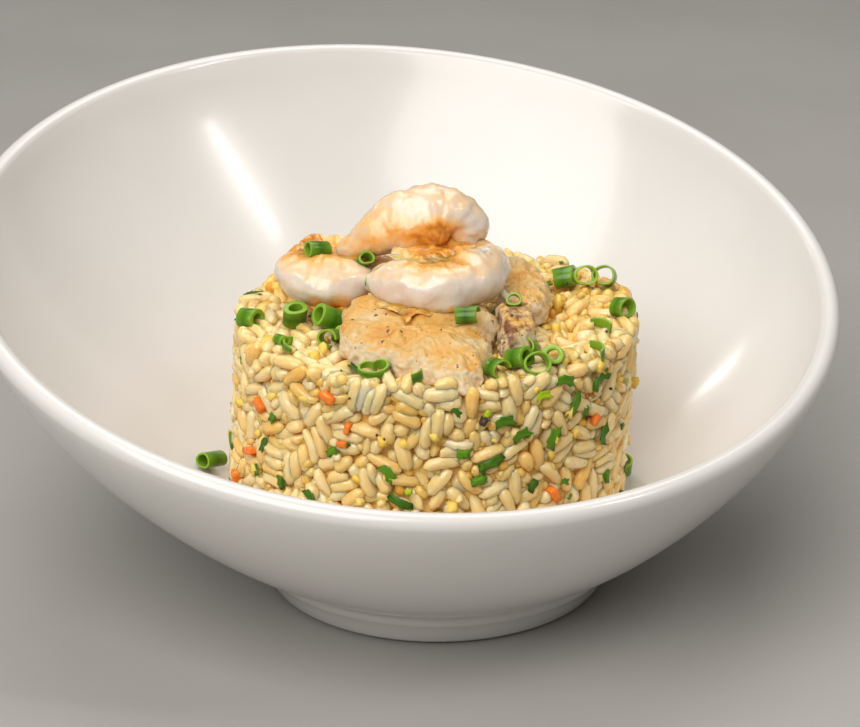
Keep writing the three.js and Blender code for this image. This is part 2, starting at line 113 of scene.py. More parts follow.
# %% Start a finish
def finish_of(name, roughness=0.5, **sockets):
    material = bpy.data.materials.new(name)
    material.use_nodes = True
    shader = material.node_tree.nodes["Principled BSDF"]
    shader.inputs["Roughness"].default_value = roughness
    for socket, value in sockets.items():
        shader.inputs[socket.replace("_", " ")].default_value = value
    print("finish:", name)
    return material, material.node_tree, shader


def mottle(tree, size, detail=3):
    """Noise whose blotches are about this many millimetres wide."""
    place = tree.nodes.new("ShaderNodeTexCoord")
    texture = tree.nodes.new("ShaderNodeTexNoise")
    texture.inputs["Scale"].default_value = 1 / (size * MM)
    texture.inputs["Detail"].default_value = detail
    tree.links.new(place.outputs["Object"], texture.inputs["Vector"])
    return texture.outputs["Fac"]


def colours(tree, value, stops):
    """A colour ramp: stops are pairs of a place from 0 to 1 and a linear colour."""
    ramp = tree.nodes.new("ShaderNodeValToRGB")
    while len(ramp.color_ramp.elements) < len(stops):
        ramp.color_ramp.elements.new(1)
    for element, (place, colour) in zip(ramp.color_ramp.elements, stops):
        element.position = place
        element.color = (*colour, 1)
    tree.links.new(value, ramp.inputs["Fac"])
    return ramp.outputs["Color"]


# %% Mix, read and raise
def feed(tree, socket, value):
    """Links a value that comes from a node, or sets a plain number or colour."""
    if isinstance(value, bpy.types.NodeSocket):
        tree.links.new(value, socket)
    else:
        socket.default_value = (*value, 1) if isinstance(value, tuple) else value


def mixed(tree, share, first, second, blend="MIX"):
    """Two colours mixed; a colour mix has its share, first and second at sockets 0, 6 and 7."""
    mix = tree.nodes.new("ShaderNodeMix")
    mix.data_type = "RGBA"
    mix.blend_type = blend
    for number, value in ((0, share), (6, first), (7, second)):
        feed(tree, mix.inputs[number], value)
    return mix.outputs[2]


def painted(tree, name):
    """A value that was stored on the piece's points."""
    attribute = tree.nodes.new("ShaderNodeAttribute")
    attribute.attribute_name = name
    return attribute.outputs["Fac"]


def times(tree, a, b):
    """The product of two values, kept between 0 and 1."""
    node = tree.nodes.new("ShaderNodeMath")
    node.operation = "MULTIPLY"
    node.use_clamp = True
    feed(tree, node.inputs[0], a)
    feed(tree, node.inputs[1], b)
    return node.outputs["Value"]


def surfaced(tree, shader, tone, size, depth, strength, detail=3):
    """Sets the colour, and raises blotches of this size by a depth, both in millimetres."""
    tree.links.new(tone, shader.inputs["Base Color"])
    bump = tree.nodes.new("ShaderNodeBump")
    bump.inputs["Strength"].default_value = strength
    bump.inputs["Distance"].default_value = depth * MM
    tree.links.new(mottle(tree, size, detail), bump.inputs["Height"])
    tree.links.new(bump.outputs["Normal"], shader.inputs["Normal"])


# %% [markdown]
# The pale floor is a wide plane with a faint mottle, and it isn't part of the dish. The light is soft. A
# broad lamp high in front, to the left, fills the bowl and leaves its outside in shade. A second one
# stands right above and brightens the tops of the food. A narrow strip to the right is seen again as the
# thin gleam on the left of the glaze, and a small lamp behind as the short one at the right. The world
# round them is dim.

# %% Floor and light
FLOOR_SIZE, FLOOR_DROP = 4, 0.0005
LAMP_TONE = (1, 0.98, 0.95)
WORLD_TONE, WORLD_STRENGTH = (1, 0.96, 0.91, 1), 0.14
floor_finish, tree, shader = finish_of("pale_floor", roughness=0.6)
floor_tone = colours(tree, mottle(tree, 90), [(0.3, (0.37, 0.357, 0.336)), (0.7, (0.40, 0.387, 0.366))])
tree.links.new(floor_tone, shader.inputs["Base Color"])
bpy.ops.mesh.primitive_plane_add(size=FLOOR_SIZE, location=(0, 0, -FLOOR_DROP))
floor = bpy.context.object
floor.name = "floor"
floor.data.materials.append(floor_finish)


def lamp(name, aim, bearing, rise, distance, size, power):
    """An area lamp that faces a point of the food; its bearing is counted to the right from behind."""
    right, behind = sin_cos(bearing)
    up, level = sin_cos(rise)
    offset = np.array([right * level, behind * level, up]) * distance
    place = served([np.array(aim) + offset])[0]
    bpy.ops.object.light_add(type="AREA", location=place)
    light = bpy.context.object
    light.name = name
    light.rotation_euler = Vector(served([aim])[0] - place).to_track_quat("-Z", "Y").to_euler()
    light.data.shape = "RECTANGLE"
    light.data.size, light.data.size_y = size[0] * MM, size[1] * MM
    light.data.energy = power
    light.data.color = LAMP_TONE


RICE_MIDDLE_AIM = (0, 0, 50)
lamp("soft_above", RICE_MIDDLE_AIM, 0, 68, 1100, (900, 700), 5.6)
lamp("soft_front", RICE_MIDDLE_AIM, 208, 47, 1100, (1000, 900), 13.2)
lamp("strip_right", (-47.6, 88.7, 66.7), 115, 46, 1000, (45, 280), 1.0)
lamp("spark_left", (66.5, 30.3, 35.9), -44, 27.5, 1000, (25, 80), 0.2)
world = bpy.data.worlds.new("room")
bpy.context.scene.world = world
world.use_nodes = True
world.node_tree.nodes["Background"].inputs["Color"].default_value = WORLD_TONE
world.node_tree.nodes["Background"].inputs["Strength"].default_value = WORLD_STRENGTH

# %% [markdown]
# Several pieces here are skins drawn through rings: the bowl, whose section changes round the rim, and
# the shrimp, whose body tapers along a curl. By hand one would extrude a circle again and again and move
# each new ring into place, and this helper does just that. Small end rings are filled, and the normals
# are then set.


# %% Modes and selection
def mode(name):
    """Changes to edit mode or back to object mode."""
    bpy.ops.object.mode_set(mode=name)


def only(*pieces):
    """Selects these pieces and nothing else, and makes the first one active."""
    bpy.ops.object.select_all(action="DESELECT")
    for piece in pieces[::-1]:
        piece.select_set(True)
        bpy.context.view_layer.objects.active = piece


# %% Extrude a circle through rings
def extruded(name, rings):
    """A closed piece through rings of points in metres, each with the same number of points."""
    only()
    bpy.ops.mesh.primitive_circle_add(vertices=len(rings[0]), radius=0.01, fill_type="NOTHING")
    piece = bpy.context.object
    piece.name = name
    mode("EDIT")
    loop = list(range(len(rings[0])))
    for step, ring in enumerate(rings):
        if step:
            bpy.ops.mesh.extrude_region_move()
        edit = bmesh.from_edit_mesh(piece.data)
        edit.verts.ensure_lookup_table()
        edit.verts.index_update()
        if step:
            old = [edit.verts[i] for i in loop]
            new = [next(e.other_vert(v) for e in v.link_edges if e.other_vert(v).select) for v in old]
            loop = [v.index for v in new]
        for i, point in zip(loop, ring):
            edit.verts[i].co = point
        bmesh.update_edit_mesh(piece.data)
    bpy.ops.mesh.select_all(action="SELECT")
    bpy.ops.mesh.fill_holes(sides=0)
    bpy.ops.mesh.select_all(action="SELECT")
    bpy.ops.mesh.normals_make_consistent(inside=False)
    mode("OBJECT")
    bpy.ops.object.shade_smooth()
    print(name, len(piece.data.vertices), "points")
    return piece


def points_of(piece):
    co = np.empty(len(piece.data.vertices) * 3)
    piece.data.vertices.foreach_get("co", co)
    return co.reshape(-1, 3)


def move_points(piece, points):
    piece.data.vertices.foreach_set("co", np.asarray(points, float).ravel())
    piece.data.update()


def paint(piece, name, values):
    """Stores a value on each point, for the finish to read."""
    layer = piece.data.attributes.new(name, "FLOAT", "POINT")
    layer.data.foreach_set("value", np.asarray(values, np.float32))


# %% [markdown]
# The bowl is thick white porcelain. Its rim is a circle of 202 mm, tilted 14 degrees and set back from
# the foot, so no spin can make it: each azimuth has its own section. The wall leaves the foot at one
# slope, swings up and meets the rim at a steeper one, which is a Bezier curve with two handles.

# %% Bowl section
RIM_RADIUS, RIM_TILT, RIM_SHIFT, RIM_HEIGHT = 101, math.radians(14.15), 22.9, 68
WALL, FLOOR_HEIGHT = 4.8, 15
SLOPE_LOW, SLOPE_HIGH, REACH_LOW, REACH_HIGH = math.radians(24), math.radians(70), 0.3, 0.25
FOOT_TOP = np.array([42, 8.1])
FOOT_PROFILE = [(1, 8.2), (20, 8.2), (32.4, 8.2), (33.2, 7.6), (34, 1), (34.6, 0.2), (35.2, 0)]
FOOT_PROFILE += [(37.4, 0), (38.2, 0.25), (38.7, 0.9), (39.9, 3.2), (41.1, 5.3), (41.5, 5.7), (41.6, 6.6)]
FLOOR_RINGS, FLOOR_EDGE = (38, 20, 1), 1.6
BOWL_SIDES, WALL_STEPS, LIP_STEPS, WALL_SAMPLES = 144, 26, 9, 201


def rim_point(azimuth):
    depth = RIM_RADIUS * math.cos(RIM_TILT)
    a = (math.sin(azimuth) / RIM_RADIUS) ** 2 + (math.cos(azimuth) / depth) ** 2
    b = -2 * math.cos(azimuth) * RIM_SHIFT / depth**2
    c = (RIM_SHIFT / depth) ** 2 - 1
    radius = (-b + math.sqrt(b * b - 4 * a * c)) / (2 * a)
    return np.array([radius, RIM_HEIGHT + (radius * math.cos(azimuth) - RIM_SHIFT) * math.tan(RIM_TILT)])


def wall_lines(azimuth):
    """The outside of the wall from crease to rim, and the inside a wall's thickness away."""
    rim = rim_point(azimuth)
    span = np.linalg.norm(rim - FOOT_TOP)
    leave = FOOT_TOP + REACH_LOW * span * np.array([math.cos(SLOPE_LOW), math.sin(SLOPE_LOW)])
    arrive = rim - REACH_HIGH * span * np.array([math.cos(SLOPE_HIGH), math.sin(SLOPE_HIGH)])
    t = np.linspace(0, 1, WALL_SAMPLES)[:, None]
    outer = (1 - t) ** 3 * FOOT_TOP + 3 * (1 - t) ** 2 * t * leave + 3 * (1 - t) * t**2 * arrive + t**3 * rim
    slope = np.gradient(outer, axis=0)
    slope /= np.linalg.norm(slope, axis=1)[:, None]
    inner = outer + WALL * np.stack([-slope[:, 1], slope[:, 0]], axis=1)
    return outer, inner


def resampled(line, count):
    along = np.concatenate([[0], np.cumsum(np.linalg.norm(np.diff(line, axis=0), axis=1))])
    even = np.linspace(0, along[-1], count)
    return np.stack([np.interp(even, along, line[:, k]) for k in (0, 1)], axis=1)


def bowl_section(azimuth):
    outer, inner = wall_lines(azimuth)
    middle = (outer[-1] + inner[-1]) / 2
    arm = outer[-1] - middle
    lip = []
    for i in range(1, LIP_STEPS):
        turn = math.pi * i / LIP_STEPS
        c, s = math.cos(turn), math.sin(turn)
        lip.append(middle + (arm[0] * c - arm[1] * s, arm[0] * s + arm[1] * c))
    above = inner[inner[:, 1] > FLOOR_HEIGHT]
    edge = np.array([above[0, 0] - FLOOR_EDGE, FLOOR_HEIGHT])
    inside = resampled(np.vstack([edge, above[2:]]), WALL_STEPS)[::-1]
    floor_rings = [(radius, FLOOR_HEIGHT) for radius in FLOOR_RINGS]
    return np.vstack([FOOT_PROFILE, resampled(outer, WALL_STEPS), lip, inside, floor_rings])


section = bowl_section(0)
print("highest point of the lip:", section[:, 1].max().round(1), "mm; rings:", len(section))

# %% Bowl
azimuths = [2 * math.pi * side / BOWL_SIDES for side in range(BOWL_SIDES)]
sections = [bowl_section(azimuth) for azimuth in azimuths]
bowl_rings = []
for k in range(len(section)):
    ring = [
        (-s[k, 0] * math.sin(a) * MM, (FOOT_Y + s[k, 0] * math.cos(a)) * MM, s[k, 1] * MM)
        for a, s in zip(azimuths, sections)
    ]
    bowl_rings.append(ring)
bowl = extruded("porcelain_bowl", bowl_rings)

# %% [markdown]
# Glazed porcelain is bright, a little warm, and shiny. The glaze pools and thins slightly, which shows as
# a faint waviness in the reflections and a barely visible change of tone. The unglazed ring under the
# foot is hidden.

# %% Porcelain
porcelain, tree, shader = finish_of(
    "porcelain_glaze", roughness=0.19, IOR=1.5, Coat_Weight=0.15, Coat_Roughness=0.08
)
glaze_tone = colours(tree, mottle(tree, 26), [(0.3, (0.70, 0.682, 0.652)), (0.7, (0.725, 0.707, 0.68))])
surfaced(tree, shader, glaze_tone, 9, 0.02, 0.35, detail=1)
bowl.data.materials.append(porcelain)
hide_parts("bowl")
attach(bowl, "root")

# %% [markdown]
# The rice was pressed into a ring mould and turned out, so it is a drum of grains that lie every way but
# end at one smooth wall. Under the grains stands a plain core, a cylinder with its edges rounded, which
# closes the gaps. Its golden brown is the rice's tone darkened as painted shade of the gaps between grains.

# %% Core of the rice
RICE_RADIUS, RICE_TOP, RICE_MIDDLE, RICE_LEAN = 45.2, 63.6, -1.3, 2.6
RICE_BOTTOM = FLOOR_HEIGHT + 0.3
CORE_DEPTH, CORE_SIDES = 2.5, 120
CORE_INSETS = (0.965, 0.9, 0.83, 0.76, 0.69, 0.62, 0.5, 0.38, 0.26, 0.14, 0.04)
CLUMPS = [(37, 9, 9, 3.2), (-36, 14, 8, 1.8), (22, 30, 12, 1.2), (-18, -33, 10, -1)]


def rice_top(x, y):
    """The height of the pressed top, with clumps of browned rice as (x, y, width, height)."""
    height = RICE_TOP + 0.5 * np.sin(0.31 * x + 1) * np.sin(0.27 * y + 2)
    for cx, cy, wide, high in CLUMPS:
        height = height + high * np.exp(-((x - cx) ** 2 + (y - cy) ** 2) / wide**2)
    return height


def lean_at(z):
    return RICE_MIDDLE + RICE_LEAN * ((z - FLOOR_HEIGHT) / (RICE_TOP - FLOOR_HEIGHT) - 0.5)


def core_ring(inset, z):
    turn = np.linspace(0, 2 * np.pi, CORE_SIDES, endpoint=False)
    x = (RICE_RADIUS - CORE_DEPTH) * inset * np.cos(turn)
    y = (RICE_RADIUS - CORE_DEPTH) * inset * np.sin(turn)
    z = np.minimum(z, rice_top(x, y) - CORE_DEPTH)
    return served(np.column_stack([x + lean_at(z), y, z]))


def normals_of(piece):
    flat = np.empty(3 * len(piece.data.vertices))
    piece.data.vertex_normals.foreach_get("vector", flat)
    return flat.reshape(-1, 3)


def roughened(piece, amount, size, seed=0):
    """Moves each point along its normal by noise: amount and size in millimetres."""
    normals = normals_of(piece)
    points = points_of(piece)
    spots = points / (size * MM) + (seed, 3 * seed, 7 * seed)
    values = np.array([noise.fractal(Vector(spot), 1.0, 2.0, 3) for spot in spots])
    move_points(piece, points + normals * values[:, None] * amount * MM)


core_top = RICE_TOP - CORE_DEPTH
wall = [core_ring(1, z) for z in np.linspace(RICE_BOTTOM + 1.5, core_top - 2.5, 22)]
lower = [core_ring(inset, RICE_BOTTOM + 0.2) for inset in (0.05, 0.5, 0.94, 0.985)]
upper = [core_ring(inset, core_top + 9) for inset in CORE_INSETS]
core = extruded("rice_core", lower + wall + upper)
roughened(core, 0.7, 3, seed=1)

# %% [markdown]
# A cooked medium grain is 7 to 9 mm long and 3 mm thick, plump, a little bent and blunt at its ends. One
# small sphere is stretched to that shape, and a few different grains are made from it. With a few dozen
# faces a grain is light enough to be repeated two thousand times. The broken bits are simpler still.

# %% Shapes of one grain
GRAIN_HALF_WIDTH = 1.45
# Each row is long, wide, thick, bend and taper.
GRAINS = [
    (7.7, 3.8, 3.2, 0.25, 0.10),
    (8.6, 3.4, 3.0, 0.5, 0.15),
    (6.6, 3.7, 3.2, 0.15, -0.1),
    (8.0, 3.5, 3.0, 0.9, 0.05),
    (5.0, 3.6, 3.1, 0.1, 0.2),
    (7.4, 3.3, 3.0, -0.4, 0.2),
    (7.9, 3.7, 3.0, 0.4, -0.12),
]
BROKEN_GRAINS = [(3.6, 2.9, 2.7, 0.1, 0.15), (4.4, 2.7, 2.5, 0.2, -0.1), (3.0, 2.8, 2.6, 0.0, 0.2)]
BLUNTNESS = 0.64
chance = np.random.default_rng(11)


def grain_shape(long, wide, thick, bend, taper, segments, rings):
    """One grain along z, in millimetres: its corners and its faces."""
    only()
    bpy.ops.mesh.primitive_uv_sphere_add(segments=segments, ring_count=rings, radius=1)
    grain = bpy.context.object
    mode("EDIT")
    bpy.ops.mesh.quads_convert_to_tris()
    mode("OBJECT")
    unit = points_of(grain) * chance.uniform(0.9, 1.08, (len(grain.data.vertices), 1))
    along = np.sign(unit[:, 2]) * np.abs(unit[:, 2]) ** BLUNTNESS
    plump = 1 - taper * along
    x = unit[:, 0] * plump * wide / 2
    y = unit[:, 1] * plump * thick / 2 + bend * (along**2 - 0.4)
    faces = np.array([list(face.vertices) for face in grain.data.polygons])
    bpy.data.objects.remove(grain)
    return np.stack([x, y, along * long / 2], axis=1), faces


grain_kinds = [grain_shape(*sizes, 7, 6) for sizes in GRAINS]
broken_kinds = [grain_shape(*sizes, 6, 5) for sizes in BROKEN_GRAINS]
print("faces in a grain:", len(grain_kinds[0][1]), "and in a broken one:", len(broken_kinds[0][1]))

# %% [markdown]
# The grains could be thrown on at random, but then they would cut into each other and hang over the edge.
# Instead they are treated as the mould treats them: each grain is a stiff capsule with two ends, all
# start in a loose crowd in the outer layer, and step by step overlapping grains push each other apart
# while the mould's wall, its lid and the core push them back. The random start is seeded, so it always
# ends alike.

# %% Start with a loose crowd
GRAIN_COUNT = 2250
GRAIN_REACH = 2.3
WALL_SHARE, WALL_INNER, WALL_OUTER = 0.72, 37.5, 43.5
CROWD_LOW, CROWD_LID_LOW, CROWD_HIGH, CROWD_RADIUS = 17, 56, 62, 43
OUTWARD_SHARE = 0.6


def drum_start(count):
    """The two ends of each grain, thrown into the wall and under the top of the drum."""
    turn = chance.uniform(0, 2 * np.pi, count)
    on_wall = chance.random(count) < WALL_SHARE
    radius = chance.uniform(WALL_INNER, WALL_OUTER, count)
    radius = np.where(on_wall, radius, CROWD_RADIUS * np.sqrt(chance.random(count)))
    height = chance.uniform(CROWD_LOW, CROWD_HIGH, count)
    height = np.where(on_wall, height, chance.uniform(CROWD_LID_LOW, CROWD_HIGH, count))
    middle = np.stack([radius * np.cos(turn), radius * np.sin(turn), height], axis=1)
    way = chance.normal(size=(count, 3))
    outward = np.where(on_wall[:, None], middle * (1, 1, 0) / radius[:, None], (0, 0, 1))
    way -= OUTWARD_SHARE * outward * (way * outward).sum(axis=1)[:, None]
    way /= np.linalg.norm(way, axis=1)[:, None]
    return middle - GRAIN_REACH * way, middle + GRAIN_REACH * way


# %% How near two grains come
def closest(a, b, c, d):
    """For segments a-b and c-d: the shares along each at which they come closest."""
    u, v, w = b - a, d - c, a - c
    uu, vv, uv = (u * u).sum(1), (v * v).sum(1), (u * v).sum(1)
    uw, vw = (u * w).sum(1), (v * w).sum(1)
    s = np.clip((uv * vw - vv * uw) / np.maximum(uu * vv - uv**2, 1e-6), 0, 1)
    t = np.clip((uv * s + vw) / vv, 0, 1)
    s = np.clip((t * uv - uw) / uu, 0, 1)
    return s, t


# %% Pack the grains in the mould
GRAIN_OVERLAP = 0.5
PACK_DEPTH, PACK_STEPS, PACK_SOFTNESS = 4.6, 60, 0.35
NEAR_ENOUGH, RENEW_EVERY = 8.6, 6


def held_in_mould(ends):
    """Moves the ends of the grains back between the core and the mould."""
    out = RICE_RADIUS - GRAIN_HALF_WIDTH
    lid = rice_top(ends[:, 0], ends[:, 1]) - GRAIN_HALF_WIDTH
    radius = np.hypot(ends[:, 0], ends[:, 1])
    ends[:, :2] *= np.minimum(1, out / radius)[:, None]
    ends[:, 2] = np.clip(ends[:, 2], RICE_BOTTOM + GRAIN_HALF_WIDTH, lid)
    core_wall = RICE_RADIUS - PACK_DEPTH
    core_lid = RICE_TOP - PACK_DEPTH
    radius = np.minimum(radius, out)
    inside = (radius < core_wall) & (ends[:, 2] < core_lid)
    up = inside & (core_lid - ends[:, 2] < core_wall - radius)
    side = inside & ~up
    ends[up, 2] = core_lid
    ends[side, :2] *= (core_wall / np.maximum(radius[side], 1))[:, None]
    return ends


def packed_grains(count):
    """Pushes overlapping grains apart step by step; the list of neighbours is renewed now and then."""
    a, b = drum_start(count)
    for step in range(PACK_STEPS):
        if step % RENEW_EVERY == 0:
            middle = ((a + b) / 2).astype(np.float32)
            square = (middle**2).sum(1)
            near = square[:, None] + square[None] - 2 * middle @ middle.T < NEAR_ENOUGH**2
            i, j = np.nonzero(np.triu(near, 1))
        s, t = closest(a[i], b[i], a[j], b[j])
        gap = a[i] + s[:, None] * (b[i] - a[i]) - a[j] - t[:, None] * (b[j] - a[j])
        far = np.maximum(np.linalg.norm(gap, axis=1), 1e-4)
        too_close = np.maximum(0, 2 * GRAIN_HALF_WIDTH - GRAIN_OVERLAP - far)
        push = gap * (PACK_SOFTNESS * too_close / far)[:, None]
        for ends, share_i, share_j in ((a, 1 - s, 1 - t), (b, s, t)):
            np.add.at(ends, i, push * share_i[:, None])
            np.add.at(ends, j, -push * share_j[:, None])
        a, b = held_in_mould(a), held_in_mould(b)
        middle, way = (a + b) / 2, b - a
        way *= (GRAIN_REACH / np.maximum(np.linalg.norm(way, axis=1), 1e-3))[:, None]
        a, b = middle - way, middle + way
    return held_in_mould(a), held_in_mould(b)


grain_a, grain_b = packed_grains(GRAIN_COUNT)
print("grains packed:", len(grain_a))

# %% [markdown]
# Where a shrimp, a piece of chicken or a slice of onion presses in, there is no room for a grain. The
# solids of those nodes are asked which grains reach into them, and those are left out.

# %% Leave out the grains under the toppings
from mathutils.bvhtree import BVHTree

TOPPINGS = ["shrimp_front", "shrimp_left", "chicken_front", "chicken_middle", "chicken_back"]
MIDDLE_SUNK, END_SUNK = 0.3, 0.9


def tree_of(node):
    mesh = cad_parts[node].data
    edit = bmesh.new()
    edit.from_mesh(mesh)
    bmesh.ops.remove_doubles(edit, verts=edit.verts, dist=1e-6)
    edit.normal_update()
    tree = BVHTree.FromBMesh(edit)
    edit.free()
    return tree


topping_trees = [tree_of(node) for node in TOPPINGS]


def sunk_in_topping(points, depth):
    """Which of these points in metres lie deeper than this many millimetres inside a topping."""
    deep = np.zeros(len(points), bool)
    for k, point in enumerate(points):
        for tree in topping_trees:
            place, normal, _, away = tree.find_nearest(Vector(point))
            if away > depth * MM and (Vector(point) - place).dot(normal) < 0:
                deep[k] = True
    return deep


def leaned(points):
    points = points.copy()
    points[:, 0] += lean_at(points[:, 2])
    return points


grain_middle = leaned((grain_a + grain_b) / 2)
crushed = sunk_in_topping(served(grain_middle), MIDDLE_SUNK)
for end in (grain_a, grain_b):
    crushed |= sunk_in_topping(served(leaned(end)), END_SUNK)
grain_a, grain_b, grain_middle = grain_a[~crushed], grain_b[~crushed], grain_middle[~crushed]
print("grains left out:", int(crushed.sum()))


# %% Join many small shapes into one piece
def sideways(axis):
    """The axis at length one, and a direction square to it."""
    z = axis / np.linalg.norm(axis)
    side = np.cross(z, (0, 0, 1) if abs(z[2]) < 0.9 else (1, 0, 0))
    return z, side / np.linalg.norm(side)


def scattered(name, shapes, middles, axes, rolls, tints, sizes=None):
    """One mesh from many small shapes, each turned so that its z lies along its axis, then rolled."""
    corners, faces, tint, start = [], [], [], 0
    for k, (middle, axis, roll) in enumerate(zip(middles, axes, rolls)):
        shape, shape_faces = shapes[k % len(shapes)]
        z, side = sideways(axis)
        x = math.cos(roll) * side + math.sin(roll) * np.cross(z, side)
        basis = np.stack([x, np.cross(z, x), z])
        size = 1 if sizes is None else sizes[k]
        corners.append(shape * size @ basis + middle)
        faces.append(shape_faces + start)
        tint.append(np.full(len(shape), tints[k]))
        start += len(shape)
    mesh = bpy.data.meshes.new(name)
    mesh.from_pydata(served(np.vstack(corners)).tolist(), [], np.vstack(faces).tolist())
    mesh.polygons.foreach_set("use_smooth", np.ones(len(mesh.polygons), bool))
    piece = bpy.data.objects.new(name, mesh)
    bpy.context.collection.objects.link(piece)
    paint(piece, "tint", np.concatenate(tint))
    print(name, len(middles), "shapes,", len(mesh.polygons), "faces")
    return piece


# %% Grains of rice
grain_axes = leaned(grain_b) - leaned(grain_a)
grain_rolls = chance.uniform(0, 2 * np.pi, len(grain_middle))
# Grains on the top near the first two clumps get a darker, browner tint: partly browned rice, and partly
# painted shade that tones down the brightly lit top.
browning_and_top_shade = np.zeros(len(grain_middle))
for x, y, wide, _ in CLUMPS[:2]:
    away = np.hypot(grain_middle[:, 0] - x, grain_middle[:, 1] - y)
    browning_and_top_shade += np.exp(-((away / wide) ** 2)) * (grain_middle[:, 2] > 60)
grain_tint = np.clip(chance.beta(2, 3, len(grain_middle)) * 0.75 + 0.35 * browning_and_top_shade, 0, 1)
rice = scattered("rice_grains", grain_kinds, grain_middle, grain_axes, grain_rolls, grain_tint)

# %% [markdown]
# Tossing breaks some grains, and the bits settle in the gaps between the whole ones. They need no
# packing: most of each bit is hidden, so they are simply thrown at random into the layer just under the
# surface.

# %% Broken grains in the gaps
BROKEN_COUNT, BROKEN_DEPTH, BROKEN_ON_WALL = 1900, 2.4, 0.68
turn = chance.uniform(0, 2 * np.pi, BROKEN_COUNT)
on_wall = chance.random(BROKEN_COUNT) < BROKEN_ON_WALL
depth = BROKEN_DEPTH + chance.uniform(-0.5, 0.7, BROKEN_COUNT)
radius = np.where(on_wall, RICE_RADIUS - depth, (RICE_RADIUS - 2) * np.sqrt(chance.random(BROKEN_COUNT)))
x, y = radius * np.cos(turn), radius * np.sin(turn)
z = np.where(on_wall, chance.uniform(RICE_BOTTOM + 1.4, RICE_TOP - 2, BROKEN_COUNT), rice_top(x, y) - depth)
broken_middle = leaned(np.column_stack([x, y, z]))
broken_middle = broken_middle[~sunk_in_topping(served(broken_middle), MIDDLE_SUNK)]
count = len(broken_middle)
broken_axes = chance.normal(size=(count, 3))
broken_rolls = chance.uniform(0, 6, count)
broken_tint = chance.uniform(0.4, 1, count)
broken = scattered("broken_grains", broken_kinds, broken_middle, broken_axes, broken_rolls, broken_tint)

# %% [markdown]
# Fried rice is cream where the starch is dry and golden where the oil and egg have coated it. Each grain
# has its own tint, and blotches smaller than a grain break it up. Light enters a grain and comes out near
# by, which subsurface scattering gives, and the oil leaves a soft gleam.

# %% Rice finishes
rice_finish, tree, shader = finish_of(
    "oiled_rice", roughness=0.17, Subsurface_Weight=0.75, Subsurface_Scale=0.003, Specular_IOR_Level=0.6
)
shader.inputs["Subsurface Radius"].default_value = (1, 0.7, 0.3)
RICE_TONES = [
    (0.0, (0.91, 0.715, 0.43)),
    (0.35, (0.91, 0.635, 0.29)),
    (0.7, (0.88, 0.52, 0.135)),
    (1.0, (0.78, 0.39, 0.05)),
]
own = colours(tree, painted(tree, "tint"), RICE_TONES)
patches = colours(tree, mottle(tree, 3.5), [(0.35, (1, 1, 1)), (0.75, (1.0, 0.86, 0.6))])
surfaced(tree, shader, mixed(tree, 0.8, own, patches, "MULTIPLY"), 1.5, 0.3, 0.8, detail=4)
rice.data.materials.append(rice_finish)
broken.data.materials.append(rice_finish)
# The core's colour is painted shade: a golden rice tone, made darker, for the shaded gaps between grains.
core_finish, tree, shader = finish_of("rice_gap_shade", roughness=0.6)
painted_gap_shade = colours(tree, mottle(tree, 3), [(0.35, (0.76, 0.47, 0.10)), (0.7, (0.88, 0.63, 0.22))])
surfaced(tree, shader, painted_gap_shade, 2, 0.6, 0.8)
core.data.materials.append(core_finish)
for piece in (rice, broken, core):
    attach(piece, "root")
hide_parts("rice")

# %% [markdown]
# Shrimp: a peeled, pan-fried shrimp is a plump curl with a shallow groove between its segments. It is
# drawn through rings along the curl, like the bowl, and then subdivided. The curls are the ones that the
# solids use. The thin belly that fills a curl, and the skin that sticks out under it, are ragged sheets.
# They are drawn through rings too: out along the underside and back over the top. All get noise of a few
# tenths of a mm.

# %% Curves, subdivision and joining
def spline(points, shares):
    """A Catmull-Rom curve through rows of numbers, at shares from 0 to 1."""
    rows = np.asarray(points, float)
    rows = np.vstack([2 * rows[0] - rows[1], rows, 2 * rows[-1] - rows[-2]])
    place = np.clip(np.asarray(shares) * (len(rows) - 3), 0, len(rows) - 3 - 1e-9)
    k = place.astype(int)
    t = (place - k)[:, None]
    p0, p1, p2, p3 = (rows[k + n] for n in range(4))
    bend = 2 * p0 - 5 * p1 + 4 * p2 - p3
    return 0.5 * (2 * p1 + (p2 - p0) * t + bend * t**2 + (3 * p1 - p0 - 3 * p2 + p3) * t**3)


def subdivided(piece, levels):
    only(piece)
    bpy.ops.object.modifier_add(type="SUBSURF")
    piece.modifiers[0].levels = piece.modifiers[0].render_levels = levels
    bpy.ops.object.modifier_apply(modifier=piece.modifiers[0].name)


def joined(name, pieces):
    only(*pieces)
    if len(pieces) > 1:
        bpy.ops.object.join()
    pieces[0].name = name
    print(name, "from", len(pieces), "with", len(pieces[0].data.polygons), "faces")
    return pieces[0]


# %% Draw a body along a curl
ROUNDED_END = ((0.8, 0.08), (0.7, 0.45), (0.42, 0.78))
SEGMENTS, GROOVE_SPREAD, PLUMPNESS = 5.6, 0.012, 0.86


